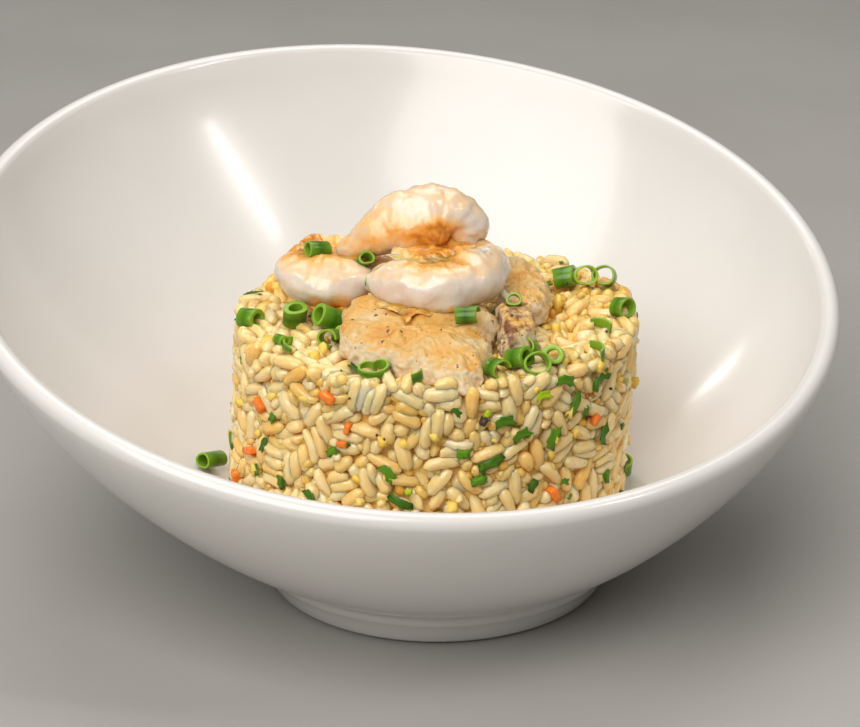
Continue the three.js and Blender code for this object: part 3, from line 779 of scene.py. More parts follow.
def tapered(name, curl, flank, sides=22, stations=44, groove_depth=0.045, squash=0.84):
    """A round body along rows of (x, y, z, half width), closed by rounded ends."""
    body = np.linspace(0, 1, stations)
    line = spline(curl, body)
    along = np.gradient(line[:, :3], axis=0)
    along /= np.linalg.norm(along, axis=1)[:, None]
    through = np.array(flank) / np.linalg.norm(flank)
    turn = np.linspace(0, 2 * np.pi, sides, endpoint=False)[:, None]
    plan = []
    for reach, size in ROUNDED_END:
        plan.append((line[0, :3] - along[0] * line[0, 3] * reach, along[0], line[0, 3] * size))
    for k, share in enumerate(body):
        groove = 1 - groove_depth * math.exp(-(((share * SEGMENTS) % 1 - 0.5) ** 2) / GROOVE_SPREAD)
        plan.append((line[k, :3], along[k], line[k, 3] * groove))
    for reach, size in ROUNDED_END[::-1]:
        plan.append((line[-1, :3] + along[-1] * line[-1, 3] * reach, along[-1], line[-1, 3] * size))
    rings = []
    for middle, tangent, half in plan:
        across = np.cross(through, tangent)
        across /= np.linalg.norm(across)
        x, y = (np.sign(way) * np.abs(way) ** PLUMPNESS for way in (np.cos(turn), np.sin(turn)))
        rings.append(served(middle + half * (x * across + squash * y * through)))
    return extruded(name, rings)


# %% Draw a ragged sheet
def frayed(outline, sides, ragged, noises):
    """The middle of an outline, and a closed curve through it; noises are (height, scale, strength)."""
    around = spline([*outline, outline[0]], np.linspace(0, 1, sides, endpoint=False))
    middle = np.mean(outline, axis=0)
    fray = np.zeros(sides)
    for height, scale, strength in noises:
        fray += [strength * noise.noise(Vector((*p, height)) * scale) for p in around]
    return middle, middle + (around - middle) * (1 + ragged * fray)[:, None]


SHEET_SIDES, SHEET_NOISES = 64, ((3, 0.9, 1), (8, 2.1, 0.6))
SHEET_EDGES = (0.04, 0.3, 0.5, 0.68, 0.82, 0.93, 1)


def ragged_sheet(name, outline, height, thick, ragged):
    """A thin sheet inside an outline of (x, y); height(x, y, edge) gives its z, with edge from 0 to 1."""
    middle, around = frayed(outline, SHEET_SIDES, ragged, SHEET_NOISES)
    rings = []
    for side, shares in ((-0.5, SHEET_EDGES), (0.5, SHEET_EDGES[::-1])):
        for edge in shares:
            flat = middle + (around - middle) * edge
            z = height(flat[:, 0], flat[:, 1], edge) + side * thick * (1.15 - 0.7 * edge**3)
            rings.append(served(np.column_stack([flat, z])))
    return extruded(name, rings)


# %% Curls and pan marks of the shrimp
# A curl is rows of (x, y, z, half width), and a pan mark is (x, y, z, reach, strength).
SHRIMPS = {
    "shrimp_top": {
        "flank": (0, -0.8, 0.6),
        "curl": [
            (-20.6, 2, 76.6, 2), (-15, 2, 79.6, 4.6), (-7.4, 2, 83, 7), (0.6, 2.4, 84, 7.5),
            (5.4, 2.4, 81.6, 6.4), (6, 1, 78.6, 3.6),
        ],
        "sears": [
            (-8.2, -4, 88.8, 1.7, 0.8), (-9, -5, 82.5, 3.2, 0.6), (-4, -5.5, 82, 3, 0.75),
            (0, -5.5, 83.5, 2.6, 0.8), (3.6, -5, 82.8, 2.9, 1.1), (-14, -3, 79, 5, 0.42),
            (-18, -1, 77, 5, 0.4), (-1, -4, 79, 5, 0.5), (4, -3, 78.5, 4, 0.45), (-12, -1, 83, 4, 0.3),
        ],
    },
    "shrimp_front": {
        "flank": (0, -0.3, 0.95),
        "curl": [
            (-12.4, -8, 73.4, 4.6), (-7.6, -12, 73.8, 6), (-1, -14.6, 74, 6.7), (6, -12.6, 74.6, 6.4),
            (10.6, -6, 75.6, 5.4), (9, 1.4, 75.8, 4.2), (2, 2.4, 75.4, 3),
        ],
        "sears": [
            (-5, -1, 79.6, 2.2, 1.2), (-1, -1, 80, 2.4, 1.6), (3, -1, 80, 2.6, 1.6),
            (6, -2, 79.6, 2, 1), (1, -13.4, 79, 1.5, 1.1), (4, -12.6, 79, 1.6, 1.2),
            (6.6, -10.4, 79, 1.4, 0.9), (-2.4, -12.4, 79, 1.5, 0.7), (0, -7, 79, 4.5, 0.3),
            (-1, -5, 78, 4.5, 0.42), (4, -5, 78, 4, 0.38), (10.4, -1, 79, 3.4, 0.3),
            (-9.6, -15.6, 71.5, 0.9, 0.9), (-4, -10, 68.5, 4, 0.6), (3, -10, 68.5, 4, 0.6),
            (9, -7, 70, 3.4, 0.5), (-5.5, -14.6, 78.4, 1.2, 0.8), (-3, -16, 78.9, 1.2, 0.9),
            (-0.2, -16.8, 79, 1.2, 1), (2.8, -16.4, 79.1, 1.2, 1), (5.4, -15.2, 79.3, 1.1, 0.8),
            (-2, -13.5, 80, 3.6, 0.35), (3, -13, 80.3, 3.6, 0.35),
        ],
    },
    "shrimp_left": {
        "flank": (0, -0.45, 0.9),
        "curl": [
            (-29.8, 7.6, 74.2, 2.6), (-31.2, 2, 72.2, 5), (-27, -2.6, 71.2, 6), (-21, -2.6, 71, 6),
            (-16, 3, 70.8, 5.2), (-11, 9, 70.8, 3.6),
        ],
        "sears": [
            (-24, -1, 77, 4, 0.5), (-28, 1, 76.5, 4, 0.6), (-29.6, 6, 77, 3.6, 1.1),
            (-26.5, 5, 76, 3.2, 0.8), (-23, 3, 76, 3.4, 0.55), (-19, 3, 75.5, 3.6, 0.45),
            (-31.6, 3, 75.5, 3, 0.6), (-22, -8, 66.6, 3.4, 0.9), (-27, -8, 66.6, 3, 0.7),
            (-16, -4, 66.6, 3.4, 0.9), (-12, 4, 73.6, 4, 0.35),
        ],
    },
}


# %% Bellies, skins and legs of the shrimp
def belly_front(x, y, edge):
    flat = 78.9 + 0.3 * np.sin(x * 1.3 + y) + 0.4 * np.sin(x * 0.6) * np.cos(y * 0.8)
    return flat + 0.5 * np.clip(y + 3.5, 0, 3) * edge**4


def belly_left(x, y, edge):
    return 75.0 + 0.3 * np.sin(x * 1.2 + y) + np.clip(y - 2, 0, 6) * 0.42 * edge**3


def skin_front(x, y, edge):
    on_chicken = 70.6 - 0.02 * x + 0.115 * (y + 8)
    return on_chicken + 0.7 + 0.4 * np.sin(x * 1.1) * edge


def skin_left(x, y, edge):
    return 66.2 + 0.4 * np.sin(x * 0.9 + 1) * edge


SHEETS = {
    "shrimp_front": [
        {"outline": [(-9, -8), (-5, -13), (0, -15), (5, -13.4), (8.4, -9), (8.6, -5), (7, -1.6), (3, -0.4),
                     (-3, -0.6), (-8, -2.4), (-9.8, -5)],
         "height": belly_front, "thick": 1.6, "ragged": 0.1},
        {"outline": [(-15, -12), (-13.4, -16.4), (-10, -19.4), (-7.6, -21.2), (-6.3, -24), (-4.8, -21.4),
                     (-1, -20.4), (2.4, -19.2), (3.4, -16), (-1, -13), (-8, -11)],
         "height": skin_front, "thick": 0.7, "ragged": 0.05},
    ],
    "shrimp_left": [
        {"outline": [(-30.6, 6), (-30, 0.6), (-25, -1.6), (-19, -1.6), (-14, 3.6), (-15.6, 8.4), (-22, 9.6),
                     (-27.4, 10)],
         "height": belly_left, "thick": 1.6, "ragged": 0.12},
        {"outline": [(-29, -4), (-26.4, -8.8), (-21.6, -10.2), (-17, -9.4), (-13.4, -6), (-12.4, -1),
                     (-20, 0)],
         "height": skin_left, "thick": 0.8, "ragged": 0.1},
    ],
}
LEGS = {
    "shrimp_front": [
        [(9.4, -7.6, 79, 0.7), (10.2, -8.8, 80.3, 0.5), (11.2, -9.4, 80.6, 0.4), (11.8, -9.6, 79.9, 0.3)],
        [(11, -8.4, 75, 1.3), (13, -10, 73.2, 0.9), (14.6, -10.8, 71, 0.7), (15.8, -10.8, 69.9, 0.9)],
    ],
}

# %% [markdown]
# Cooked shrimp is pinkish white and lets light in. The pan leaves peach, orange and, where it caught,
# brown marks in ragged patches. How strongly each point is marked is stored on the points, and noise
# frays it.

# %% Shrimp finish
shrimp_finish, tree, shader = finish_of(
    "fried_shrimp",
    roughness=0.22,
    Subsurface_Weight=0.6,
    Subsurface_Scale=0.004,
    Coat_Weight=0.4,
    Coat_Roughness=0.07,
)
shader.inputs["Subsurface Radius"].default_value = (1, 0.5, 0.3)
FLESH_TONES = [(0.3, (0.76, 0.70, 0.63)), (0.55, (0.77, 0.67, 0.57)), (0.75, (0.78, 0.59, 0.48))]
SEAR_TONES = [
    (0.08, (0.79, 0.70, 0.58)),
    (0.22, (0.81, 0.62, 0.42)),
    (0.42, (0.86, 0.52, 0.21)),
    (0.62, (0.84, 0.37, 0.05)),
    (0.85, (0.52, 0.18, 0.02)),
]
flesh = colours(tree, mottle(tree, 6), FLESH_TONES)
rags = colours(tree, mottle(tree, 2.2, detail=5), [(0.25, (0.45, 0.45, 0.45)), (0.75, (1, 1, 1))])
ragged_sear = times(tree, painted(tree, "sear"), rags)
seared = colours(tree, ragged_sear, SEAR_TONES)
share = times(tree, painted(tree, "sear"), 4.0)
surfaced(tree, shader, mixed(tree, share, flesh, seared), 0.8, 0.14, 0.7, detail=4)


# %% Shrimp
SHEET_SEAR, TOP_BLUSH = 0.26, 0.32


def shrimp_piece(node, curl, flank, sears):
    body = tapered(node + "_body", curl, flank)
    subdivided(body, 1)
    roughened(body, 0.9, 7, seed=len(node))
    roughened(body, 0.16, 2.6, seed=9)
    roughened(body, 0.14, 1.1, seed=2)
    parts = [body]
    for plan in SHEETS.get(node, []):
        sheet = ragged_sheet(node + "_sheet", **plan)
        subdivided(sheet, 1)
        roughened(sheet, 0.5, 1.6, seed=4)
        parts.append(sheet)
    for path in LEGS.get(node, []):
        parts.append(tapered(node + "_leg", path, (0, -1, 0.3), 8, 12, 0, 0.7))
    for part in parts:
        crisp = SHEET_SEAR if part.name.startswith(node + "_sheet") else 0
        paint(part, "crisp", np.full(len(part.data.vertices), crisp))
    shrimp = joined(node + "_flesh", parts)
    here = food_frame(points_of(shrimp))
    sear = np.empty(len(here), np.float32)
    shrimp.data.attributes["crisp"].data.foreach_get("value", sear)
    for x, y, z, reach, strength in sears:
        sear += strength * np.exp(-((here - (x, y, z)) ** 2).sum(1) / reach**2)
    if node == "shrimp_front":
        skin = (here[:, 1] < -15) & (here[:, 2] < 71.2) & (here[:, 0] < 4)
        sear = np.where(skin, 0.5 + 0.06 * np.clip(-18 - here[:, 1], 0, 6), sear)
    blush = TOP_BLUSH * np.clip((normals_of(shrimp)[:, 2] - 0.35) / 0.3, 0, 1)
    paint(shrimp, "sear", np.clip(sear + blush, 0, 1))
    return shrimp


for node, plan in SHRIMPS.items():
    shrimp = shrimp_piece(node, **plan)
    shrimp.data.materials.append(shrimp_finish)
    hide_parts(node)
    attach(shrimp, "root")

# %% [markdown]
# The chicken is breast, fried in flat cuts and then sliced: golden on the flat, pale and fibrous on the
# cut sides, with specks of pepper. Each cut starts as a circle with the outline of its solid, is extruded
# up through a rounded edge and subdivided, and noise roughens it.

# %% Draw a cut of chicken
CHICKEN = {
    "chicken_front": {
        "outline": [
            (-20, -10), (-20.6, -20), (-19.6, -30), (-10, -36), (-2, -40), (7.6, -43.4), (10.4, -36),
            (11.6, -24), (12, -12), (0, -6),
        ],
        "top": 70.6,
        "start": (0, -8),
        "slope": (-0.02, 0.115),
        "thick": 7.4,
    },
    "chicken_middle": {
        "outline": [
            (13.4, -30), (17, -30.4), (21, -26), (20.6, -18), (19, -12.6), (13.8, -12),
        ],
        "top": 70,
        "start": (15, -20),
        "slope": (-0.12, 0.04),
        "thick": 7,
    },
    "chicken_back": {
        "outline": [
            (15, -9.6), (20, -12), (24.6, -7), (25, 3), (22, 14), (16.4, 16.6), (13.4, 8), (13.6, -2),
        ],
        "top": 70,
        "start": (18, 0),
        "slope": (-0.1, 0.05),
        "thick": 7,
    },
}
# Each pair is a share of the outline and of the thickness, from the middle below to the middle above.
CUT_PROFILE = [(0.04, 0), (0.5, 0), (0.84, 0.03), (0.96, 0.14), (1, 0.3), (0.99, 0.48), (0.985, 0.64)]
CUT_PROFILE += [(0.95, 0.8), (0.9, 0.91), (0.8, 0.99), (0.62, 1.02), (0.4, 1), (0.2, 1.01), (0.04, 1)]
CUT_SIDES, CUT_RAGGED, CUT_NOISES = 60, 0.06, ((1, 0.5, 1), (4, 1.3, 0.7))


def chicken_piece(name, outline, top, start, slope, thick):
    middle, around = frayed(outline, CUT_SIDES, CUT_RAGGED, CUT_NOISES)
    rings = []
    for inset, height in CUT_PROFILE:
        flat = middle + (around - middle) * inset
        z = top - thick * (1 - height) + (flat - start) @ np.array(slope)
        rings.append(served(np.column_stack([flat, z])))
    piece = extruded(name + "_meat", rings)
    subdivided(piece, 2)
    roughened(piece, 1.3, 6, seed=len(name))
    roughened(piece, 0.5, 1.9, seed=5)
    paint(piece, "peppery", np.full(len(piece.data.vertices), float(name == "chicken_middle")))
    paint(piece, "fried", np.clip((normals_of(piece)[:, 2] - 0.25) / 0.5, 0, 1))
    return piece


# %% Chicken finish
chicken_finish, tree, shader = finish_of(
    "fried_chicken", roughness=0.36, Subsurface_Weight=0.2, Subsurface_Scale=0.002
)
shader.inputs["Subsurface Radius"].default_value = (1, 0.6, 0.35)
CRUST_TONES = [
    (0.28, (0.66, 0.50, 0.28)),
    (0.46, (0.66, 0.41, 0.13)),
    (0.62, (0.66, 0.33, 0.055)),
    (0.78, (0.54, 0.22, 0.03)),
]
crust = colours(tree, mottle(tree, 7, detail=5), CRUST_TONES)
meat = colours(tree, mottle(tree, 1.6, detail=4), [(0.3, (0.68, 0.50, 0.28)), (0.6, (0.83, 0.71, 0.49))])
body_tone = mixed(tree, painted(tree, "fried"), meat, crust)
pepper = colours(tree, mottle(tree, 1.1), [(0.66, (1, 1, 1)), (0.70, (0.16, 0.10, 0.08))])
charred = colours(tree, mottle(tree, 3.2, detail=5), [(0.46, (1, 1, 1)), (0.62, (0.30, 0.17, 0.13))])
peppered = mixed(tree, painted(tree, "peppery"), (1, 1, 1), charred)
peppered = mixed(tree, 1.0, pepper, peppered, "MULTIPLY")
surfaced(tree, shader, mixed(tree, 1.0, body_tone, peppered, "MULTIPLY"), 0.7, 0.25, 0.7, detail=5)

# %% Chicken
for node, plan in CHICKEN.items():
    cut = chicken_piece(node, **plan)
    cut.data.materials.append(chicken_finish)
    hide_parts(node)
    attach(cut, "root")

# %% [markdown]
# Spring onion is a green tube, thin walled, sliced across. Each slice here starts as an open cylinder at
# its size. It is cut open where it is a curl, gets its wall from Solidify and its edges from Bevel, and
# is squeezed a little out of round. The cut ends and the inside are paler, so each point keeps how pale
# it is.

# %% Lay a slice down
def lying(points, centre, lean, turn):
    """Leans the z axis about x, turns it about z and sets it at its centre."""
    s, c = sin_cos(lean)
    about_x = np.array([[1, 0, 0], [0, c, -s], [0, s, c]])
    return points @ (about_z(turn) @ about_x).T + centre


# %% Cut a slice of spring onion
ONION_WALL, ONION_EDGE, ONION_OVAL, ONION_SLANT = 0.5, 0.12, 0.1, 0.12


def onion_slice(centre, radius, long, lean, turn, sweep=360, wall=ONION_WALL, dent=0.0, pale=0.0):
    """One slice in millimetres and degrees; sweep leaves it open, dent presses one side in."""
    only()
    sides = 20 if radius > 1.8 else 14
    bpy.ops.mesh.primitive_cylinder_add(vertices=sides, radius=radius, depth=long, end_fill_type="NOTHING")
    piece = bpy.context.object
    mode("EDIT")
    bpy.ops.mesh.select_all(action="SELECT")
    bpy.ops.mesh.subdivide(number_cuts=1)
    bpy.ops.mesh.select_all(action="DESELECT")
    mode("OBJECT")
    round_it = points_of(piece)
    reach = np.hypot(round_it[:, 0], round_it[:, 1])
    round_it[:, :2] *= (radius / reach)[:, None]
    move_points(piece, round_it)
    for vertex in piece.data.vertices:
        vertex.select = math.degrees(math.atan2(vertex.co.y, vertex.co.x)) % 360 > sweep
    mode("EDIT")
    bpy.ops.mesh.delete(type="VERT")
    mode("OBJECT")
    bpy.ops.object.modifier_add(type="SOLIDIFY")
    piece.modifiers[0].thickness = wall
    piece.modifiers[0].offset = -1
    bpy.ops.object.modifier_apply(modifier=piece.modifiers[0].name)
    bpy.ops.object.modifier_add(type="BEVEL")
    piece.modifiers[0].width = ONION_EDGE
    piece.modifiers[0].segments = 2
    bpy.ops.object.modifier_apply(modifier=piece.modifiers[0].name)
    bpy.ops.object.shade_smooth()
    shape = points_of(piece)
    reach = np.hypot(shape[:, 0], shape[:, 1])
    angle = np.arctan2(shape[:, 1], shape[:, 0])
    inner = np.clip((radius - 0.25 * wall - reach) / (0.4 * wall), 0, 1)
    cut = np.clip((np.abs(shape[:, 2]) - long / 2 + 0.2) / 0.15, 0, 1)
    paint(piece, "pale", np.clip(np.maximum(0.6 * inner, 0.75 * cut) + pale, 0, 1))
    paint(piece, "tint", np.full(len(shape), chance.random()))
    swell = 1 + ONION_OVAL * np.cos(2 * angle) + 0.04 * np.cos(3 * angle + radius)
    swell = swell - dent * np.exp(-(((angle - 1.6) / 0.5) ** 2))
    slant = ONION_SLANT * shape[:, 0] * np.sign(shape[:, 2])
    shape = np.column_stack([shape[:, :2] * swell[:, None], shape[:, 2] + slant])
    move_points(piece, served(lying(shape, centre, lean, turn)))
    return piece


# %% [markdown]
# Where each slice lies was read from the photo through the camera: millimetres in the food's frame, how
# far it leans over and which way it points. The solids have the same slices as plain bumps.

# %% Spring onion on the rice
# Each row is the place (x, y), how high the middle lies above the rice, radius, length, lean and turn.
THICK = {"wall": 1.0}
SLICES = [
    ((-41.2, -7.3), 1.2, 2.3, 4.4, 84, 60, THICK),
    ((-31.1, -8.6), 2.2, 2.4, 4.6, 20, 20, THICK),
    ((-23.6, -12.4), 3.2, 2.8, 5.6, 62, -60, THICK),
    ((-20.9, -17.5), 1.4, 1.6, 3, 40, 30, THICK),
    ((-23, -20.4), 1.6, 2.2, 3.6, 75, -20, {"sweep": 300}),
    ((-33.5, -20.4), 1.0, 1.3, 3, 85, 40, {}),
    ((-13.2, -37), 1.4, 3, 2, 12, 0, {"dent": 0.45}),
    ((29.2, 14.6), 1.8, 2.6, 4.8, 75, 80, THICK),
    ((33.6, 10.6), 1.8, 2.5, 3.6, 70, 10, {"pale": 0.3}),
    ((38, 10.6), 2.0, 2.5, 3, 66, -15, {}),
    ((41, -3.2), 1.4, 2.4, 3.6, 80, 50, {}),
    ((17, -33.4), 1.8, 2.4, 4.6, 70, 60, THICK),
    ((19.4, -27.6), 1.6, 2.1, 3.6, 60, -30, {}),
    ((20.8, -35.6), 1.8, 2.7, 3.0, 60, 15, {}),
    ((24.6, -31.4), 1.8, 2.2, 4.2, 66, -10, {"pale": 0.45, "wall": 1.0}),
    ((12.4, -39), 1.3, 2.2, 4, 82, 40, {"sweep": 290}),
]
LEAVES = [
    ((-29, -23.4), 0.9, 4.2, 1.6, 8, 120, {"sweep": 120}),
    ((22.6, 4.6), 0.9, 5, 2, 10, 70, {"sweep": 80}),
    ((33.6, -15.6), 0.9, 4.4, 1.6, 12, 20, {"sweep": 80}),
    ((-6.4, -40.4), 0.9, 3.6, 1.8, 10, -70, {"sweep": 70}),
    ((31, -26.6), 0.9, 4.4, 1.8, 14, -30, {"sweep": 90}),
]
# These lie on shrimp and chicken, so each row has its whole place (x, y, z).
ON_TOPPINGS = [
    ((-26.4, 0.4, 77.4), 2.0, 4.8, 80, -60, {}),
    ((-15.7, -1.5, 75.6), 1.7, 2.8, 50, 20, {}),
    ((6.4, -24, 70.8), 2.0, 5.0, 82, 80, {"sweep": 230}),
    ((16.6, -16, 71.4), 1.6, 1.8, 60, 0, {}),
    ((-14.6, -9.6, 73.2), 1.0, 1.6, 30, 0, {}),
]
slices = []
for (x, y), lift, radius, long, lean, turn, more in SLICES + LEAVES:
    top = float(rice_top(np.array(x), np.array(y))) - 0.8
    slices.append(onion_slice((x, y, top + lift), radius, long, lean, turn, **more))
for centre, radius, long, lean, turn, more in ON_TOPPINGS:
    slices.append(onion_slice(centre, radius, long, lean, turn, **more))
onion = joined("onion_on_the_food", slices)
only(onion)

# %% Spring onion on the bowl
fallen_left = onion_slice((-52.3, 9.2, 23.1), 2.0, 6.6, 76, -34)
fallen_left.name = "onion_fallen_left"
fallen_right = onion_slice((43.6, 13.7, 19.7), 2.2, 4.4, 35, 0, pale=0.25)
fallen_right.name = "onion_fallen_right"

# %% [markdown]
# The green of the leaf runs from blue green to yellow green and pales towards the cut and the inside.
# Fine ribs run along it. The wet skin shines and is slightly translucent.

# %% Onion finish
onion_finish, tree, shader = finish_of(
    "spring_onion", roughness=0.24, Subsurface_Weight=0.08, Subsurface_Scale=0.0012, Specular_IOR_Level=0.4
)
shader.inputs["Subsurface Radius"].default_value = (0.5, 1, 0.2)
LEAF_TONES = [(0.0, (0.012, 0.07, 0.001)), (0.5, (0.027, 0.115, 0.0015)), (1.0, (0.065, 0.19, 0.002))]
leaf = colours(tree, painted(tree, "tint"), LEAF_TONES)
light_leaf = mixed(tree, times(tree, mottle(tree, 3), 0.5), leaf, (0.09, 0.24, 0.003))
cut_leaf = mixed(tree, painted(tree, "pale"), light_leaf, (0.29, 0.49, 0.035))
surfaced(tree, shader, cut_leaf, 0.8, 0.1, 0.5)
for piece, node in ((onion, None), (fallen_left, "onion_left"), (fallen_right, "onion_right")):
    piece.data.materials.append(onion_finish)
    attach(piece, "root")
    if node:
        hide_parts(node)

# %% [markdown]
# Crumbs of fried egg, chips of carrot, chopped greens and a few charred specks are mixed into the rice.
# Each kind is one small shape, made once and scattered. Egg is a lumpy ball, carrot a blunt chip, a green
# fleck a thin bent flake.

# %% Shapes of the small bits
def lump(cuts, size, uneven, seed, flat=1.0):
    """A cube, subdivided, puffed up and made uneven, in millimetres, with its faces."""
    only()
    bpy.ops.mesh.primitive_cube_add(size=2)
    piece = bpy.context.object
    mode("EDIT")
    bpy.ops.mesh.subdivide(number_cuts=cuts)
    bpy.ops.mesh.quads_convert_to_tris()
    mode("OBJECT")
    unit = points_of(piece)
    far = np.linalg.norm(unit, axis=1)[:, None]
    unit = unit / far * (0.55 + 0.45 * far) * flat + unit * (1 - flat)
    push = np.array([noise.noise(Vector(p) * 1.4 + Vector((seed, 5, 9))) for p in unit])
    unit *= (1 + uneven * push)[:, None]
    faces = np.array([list(face.vertices) for face in piece.data.polygons])
    bpy.data.objects.remove(piece)
    return unit * np.array(size) / 2, faces


egg_kinds = [lump(1, (3.4, 2.0, 2.3), 1.1, n) for n in (1, 2, 3, 4)]
carrot_kinds = [lump(2, (2.3, 1.7, 3.6), 0.25, n, flat=0.35) for n in (5, 6, 7)]
speck_kinds = [lump(1, (1.1, 0.9, 0.8), 0.6, n) for n in (8, 9)]


def flake(long, wide, bend, seed):
    """A thin leaf flake in millimetres, bent about its length, with its faces."""
    shape, faces = lump(2, (0.55, wide, long), 1.1, seed, flat=0.7)
    shape[:, 0] += bend * (shape[:, 1] ** 2 - 0.5 * (shape[:, 2] / 2) ** 2) / 3
    return shape, faces


FLAKES = [(4.2, 2.2, 0.7, 11), (3.0, 1.8, -0.6, 12), (4.8, 1.6, 0.9, 13), (2.4, 1.7, 0.4, 14)]
green_kinds = [flake(*sizes) for sizes in FLAKES]
print("faces in a lump:", len(egg_kinds[0][1]))


# %% Places for the bits
TOP_REACH, TOP_CLEARANCE = 42.5, 2.5
BIT_LOW, BIT_HIGH = 17, 61


def side_place(angle, high, sunk):
    """A place on the moulded wall and the way out, from degrees right of the front and a height."""
    right, behind = sin_cos(angle)
    out = np.array([right, -behind, 0])
    place = out * (RICE_RADIUS - sunk)
    return np.array([place[0] + lean_at(high), place[1], high]), out


def along_wall(out, slope):
    """A direction in the wall's plane, rising by this many degrees."""
    up, level = sin_cos(slope)
    return np.array([-out[1] * level, out[0] * level, up])


def top_place(sunk):
    """Tries places on the top until one is clear of the toppings."""
    while True:
        x, y = chance.uniform(-43, 43, 2)
        spot = np.array([x, y, float(rice_top(np.array(x), np.array(y))) - sunk])
        if np.hypot(x, y) < TOP_REACH and not sunk_in_topping(served([spot]), -TOP_CLEARANCE)[0]:
            return spot + (RICE_LEAN / 2 + RICE_MIDDLE, 0, 0)


def spread(count, top_share, sunk):
    """Places and axes for bits over the wall and the top."""
    middles, axes, outs = [], [], []
    for _ in range(count):
        if chance.random() < top_share:
            middles.append(top_place(sunk))
            turn = chance.uniform(0, 2 * np.pi)
            axes.append(np.array([math.cos(turn), math.sin(turn), chance.uniform(-0.3, 0.3)]))
            outs.append(np.array([0, 0, 1]))
        else:
            middle, out = side_place(chance.uniform(-180, 180), chance.uniform(BIT_LOW, BIT_HIGH), sunk)
            middles.append(middle)
            axes.append(along_wall(out, chance.uniform(-90, 90)) + out * chance.uniform(-0.2, 0.2))
            outs.append(out)
    return middles, axes, outs


def rolled_flat(axes, outs):
    """The rolls that turn a flake's thin side outwards, as scattered() measures them."""
    rolls = []
    for axis, out in zip(axes, outs):
        z, side = sideways(axis)
        rolls.append(math.atan2(out @ np.cross(z, side), out @ side))
    return rolls


# %% Egg crumbs
EGG_COUNT = 190
middles, axes, outs = spread(EGG_COUNT, 0.35, 0.9)
egg_rolls = chance.uniform(0, 6, EGG_COUNT)
egg_tint = chance.random(EGG_COUNT)
egg_size = chance.uniform(0.4, 1.15, EGG_COUNT)
egg = scattered("egg_crumbs", egg_kinds, middles, axes, egg_rolls, egg_tint, egg_size)

# %% [markdown]
# The chips that stand out on the front of the mould in the photo keep their places, as degrees to the
# right of the front and a height; the others are spread by the seeded random numbers.

# %% Greens, carrot and charred specks
GREEN_SIGHTS = [
    (19, 54.1, 10), (13, 41, 15), (41, 54.3, 60), (-57, 35.2, -70), (-34, 34, -60), (-18, 27, -65),
    (16, 45, 20), (8, 47.5, -10), (34, 48, 70), (29, 38, 60), (-8, 36.5, -25), (-3, 33, 5), (24, 50.5, 25),
    (-28, 46, 40), (22, 30, 20), (-50, 49, 50), (55, 44, 80), (60, 33, 85), (-22, 24.5, 10), (-12, 24, -10),
    (44, 26, 50), (50, 57, 70), (4, 24, 15),
]
CARROT_SIGHTS = [(-56, 50.8, -30), (-61, 38.6, 20), (-71, 29.3, 70), (36, 34.7, -60), (-30, 58, -20)]
YELLOW_SIGHTS = [(-6, 38.9, 0), (30, 58.5, 10), (14, 56, 60), (-18, 22.5, 20), (70, 52, 80)]
SPECK_SIGHTS = [(13, 54.6, -20)]
GREEN_SPREAD, CARROT_SPREAD, SPECK_SPREAD = 62, 9, 26


def seen(sights, sunk):
    """Places, axes and outward directions of the bits that the photo shows."""
    found = [side_place(angle, high, sunk) for angle, high, _ in sights]
    outs = [out for _, out in found]
    axes = [along_wall(out, sight[2]) for out, sight in zip(outs, sights)]
    return [place for place, _ in found], axes, outs


def with_spread(sights, count, top_share, sunk):
    return [a + b for a, b in zip(seen(sights, sunk), spread(count, top_share, sunk))]


middles, axes, outs = with_spread(GREEN_SIGHTS + YELLOW_SIGHTS, GREEN_SPREAD, 0.3, 0.15)
rolls = rolled_flat(axes, outs)
yellow_from = len(GREEN_SIGHTS)
green_tint = chance.random(len(middles)) * 0.75
green_tint[yellow_from : yellow_from + len(YELLOW_SIGHTS)] = 1.6
green_size = chance.uniform(0.45, 0.95, len(middles))
green_size[:yellow_from] = chance.uniform(0.8, 1.05, yellow_from)
greens = scattered("green_flecks", green_kinds, middles, axes, rolls, green_tint, green_size)

middles, axes, outs = with_spread(CARROT_SIGHTS, CARROT_SPREAD, 0.2, 0.2)
rolls = rolled_flat(axes, outs)
carrot_size = [1.0] * len(CARROT_SIGHTS) + [0.7] * CARROT_SPREAD
carrot_tint = chance.random(len(middles))
carrots = scattered("carrot_chips", carrot_kinds, middles, axes, rolls, carrot_tint, carrot_size)

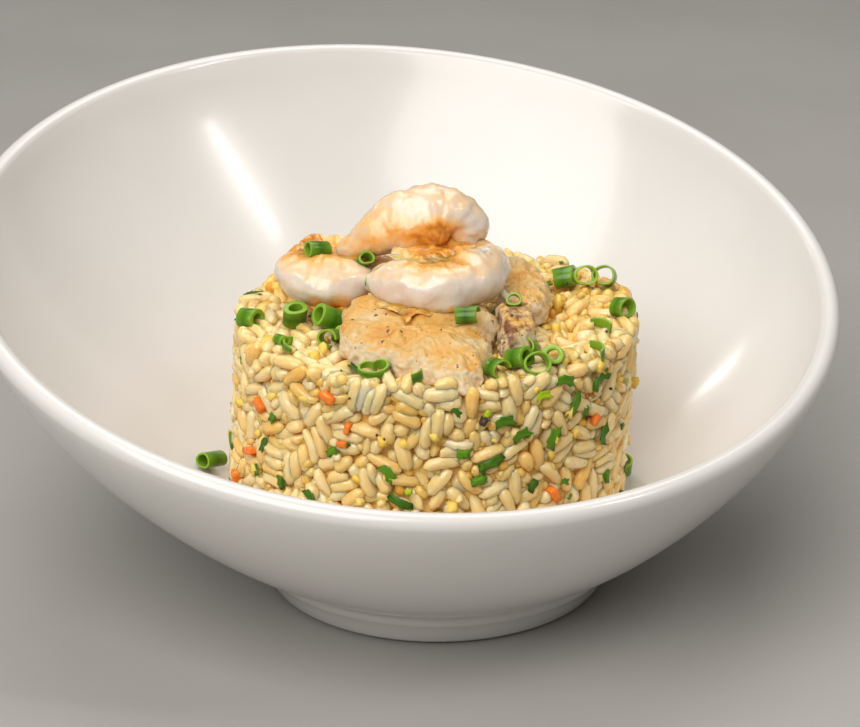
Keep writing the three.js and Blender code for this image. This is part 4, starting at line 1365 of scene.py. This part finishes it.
middles, axes, outs = with_spread(SPECK_SIGHTS, SPECK_SPREAD, 0.4, 0)
rolls = rolled_flat(axes, outs)
speck_size = [2.0] + [0.6] * SPECK_SPREAD
speck_tint = chance.random(len(middles))
specks = scattered("charred_specks", speck_kinds, middles, axes, rolls, speck_tint, speck_size)

# %% Finishes of the bits
soft = {"Subsurface_Weight": 0.25, "Subsurface_Scale": 0.001}
egg_finish, tree, shader = finish_of("fried_egg", roughness=0.42, **soft)
YOLK_TONES = [(0.0, (0.86, 0.56, 0.06)), (0.5, (0.88, 0.66, 0.16)), (1.0, (0.88, 0.76, 0.40))]
yolk = colours(tree, painted(tree, "tint"), YOLK_TONES)
yolk = mixed(tree, times(tree, mottle(tree, 1.5), 0.5), yolk, (0.9, 0.62, 0.08))
surfaced(tree, shader, yolk, 0.7, 0.3, 0.8, detail=5)
carrot_finish, tree, shader = finish_of("carrot", roughness=0.3, **soft)
orange = colours(tree, mottle(tree, 2), [(0.3, (0.85, 0.16, 0.008)), (0.7, (0.9, 0.27, 0.02))])
surfaced(tree, shader, orange, 0.6, 0.1, 0.6)
fleck_finish, tree, shader = finish_of("chopped_greens", roughness=0.4, Specular_IOR_Level=0.3)
FLECK_TONES = [
    (0.0, (0.02, 0.075, 0.003)),
    (0.25, (0.045, 0.15, 0.004)),
    (0.45, (0.10, 0.27, 0.006)),
    (0.9, (0.45, 0.62, 0.01)),
]
fleck = colours(tree, times(tree, painted(tree, "tint"), 0.6), FLECK_TONES)
fleck = mixed(tree, times(tree, mottle(tree, 2), 0.15), fleck, (0.24, 0.42, 0.01))
surfaced(tree, shader, fleck, 0.7, 0.1, 0.6)
speck_finish, tree, shader = finish_of("charred", roughness=0.45)
char = colours(tree, mottle(tree, 1), [(0.3, (0.02, 0.012, 0.012)), (0.7, (0.09, 0.045, 0.03))])
surfaced(tree, shader, char, 0.4, 0.1, 0.6)
BITS = ((egg, egg_finish), (greens, fleck_finish), (carrots, carrot_finish), (specks, speck_finish))
for piece, finish in BITS:
    piece.data.materials.append(finish)
    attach(piece, "root")
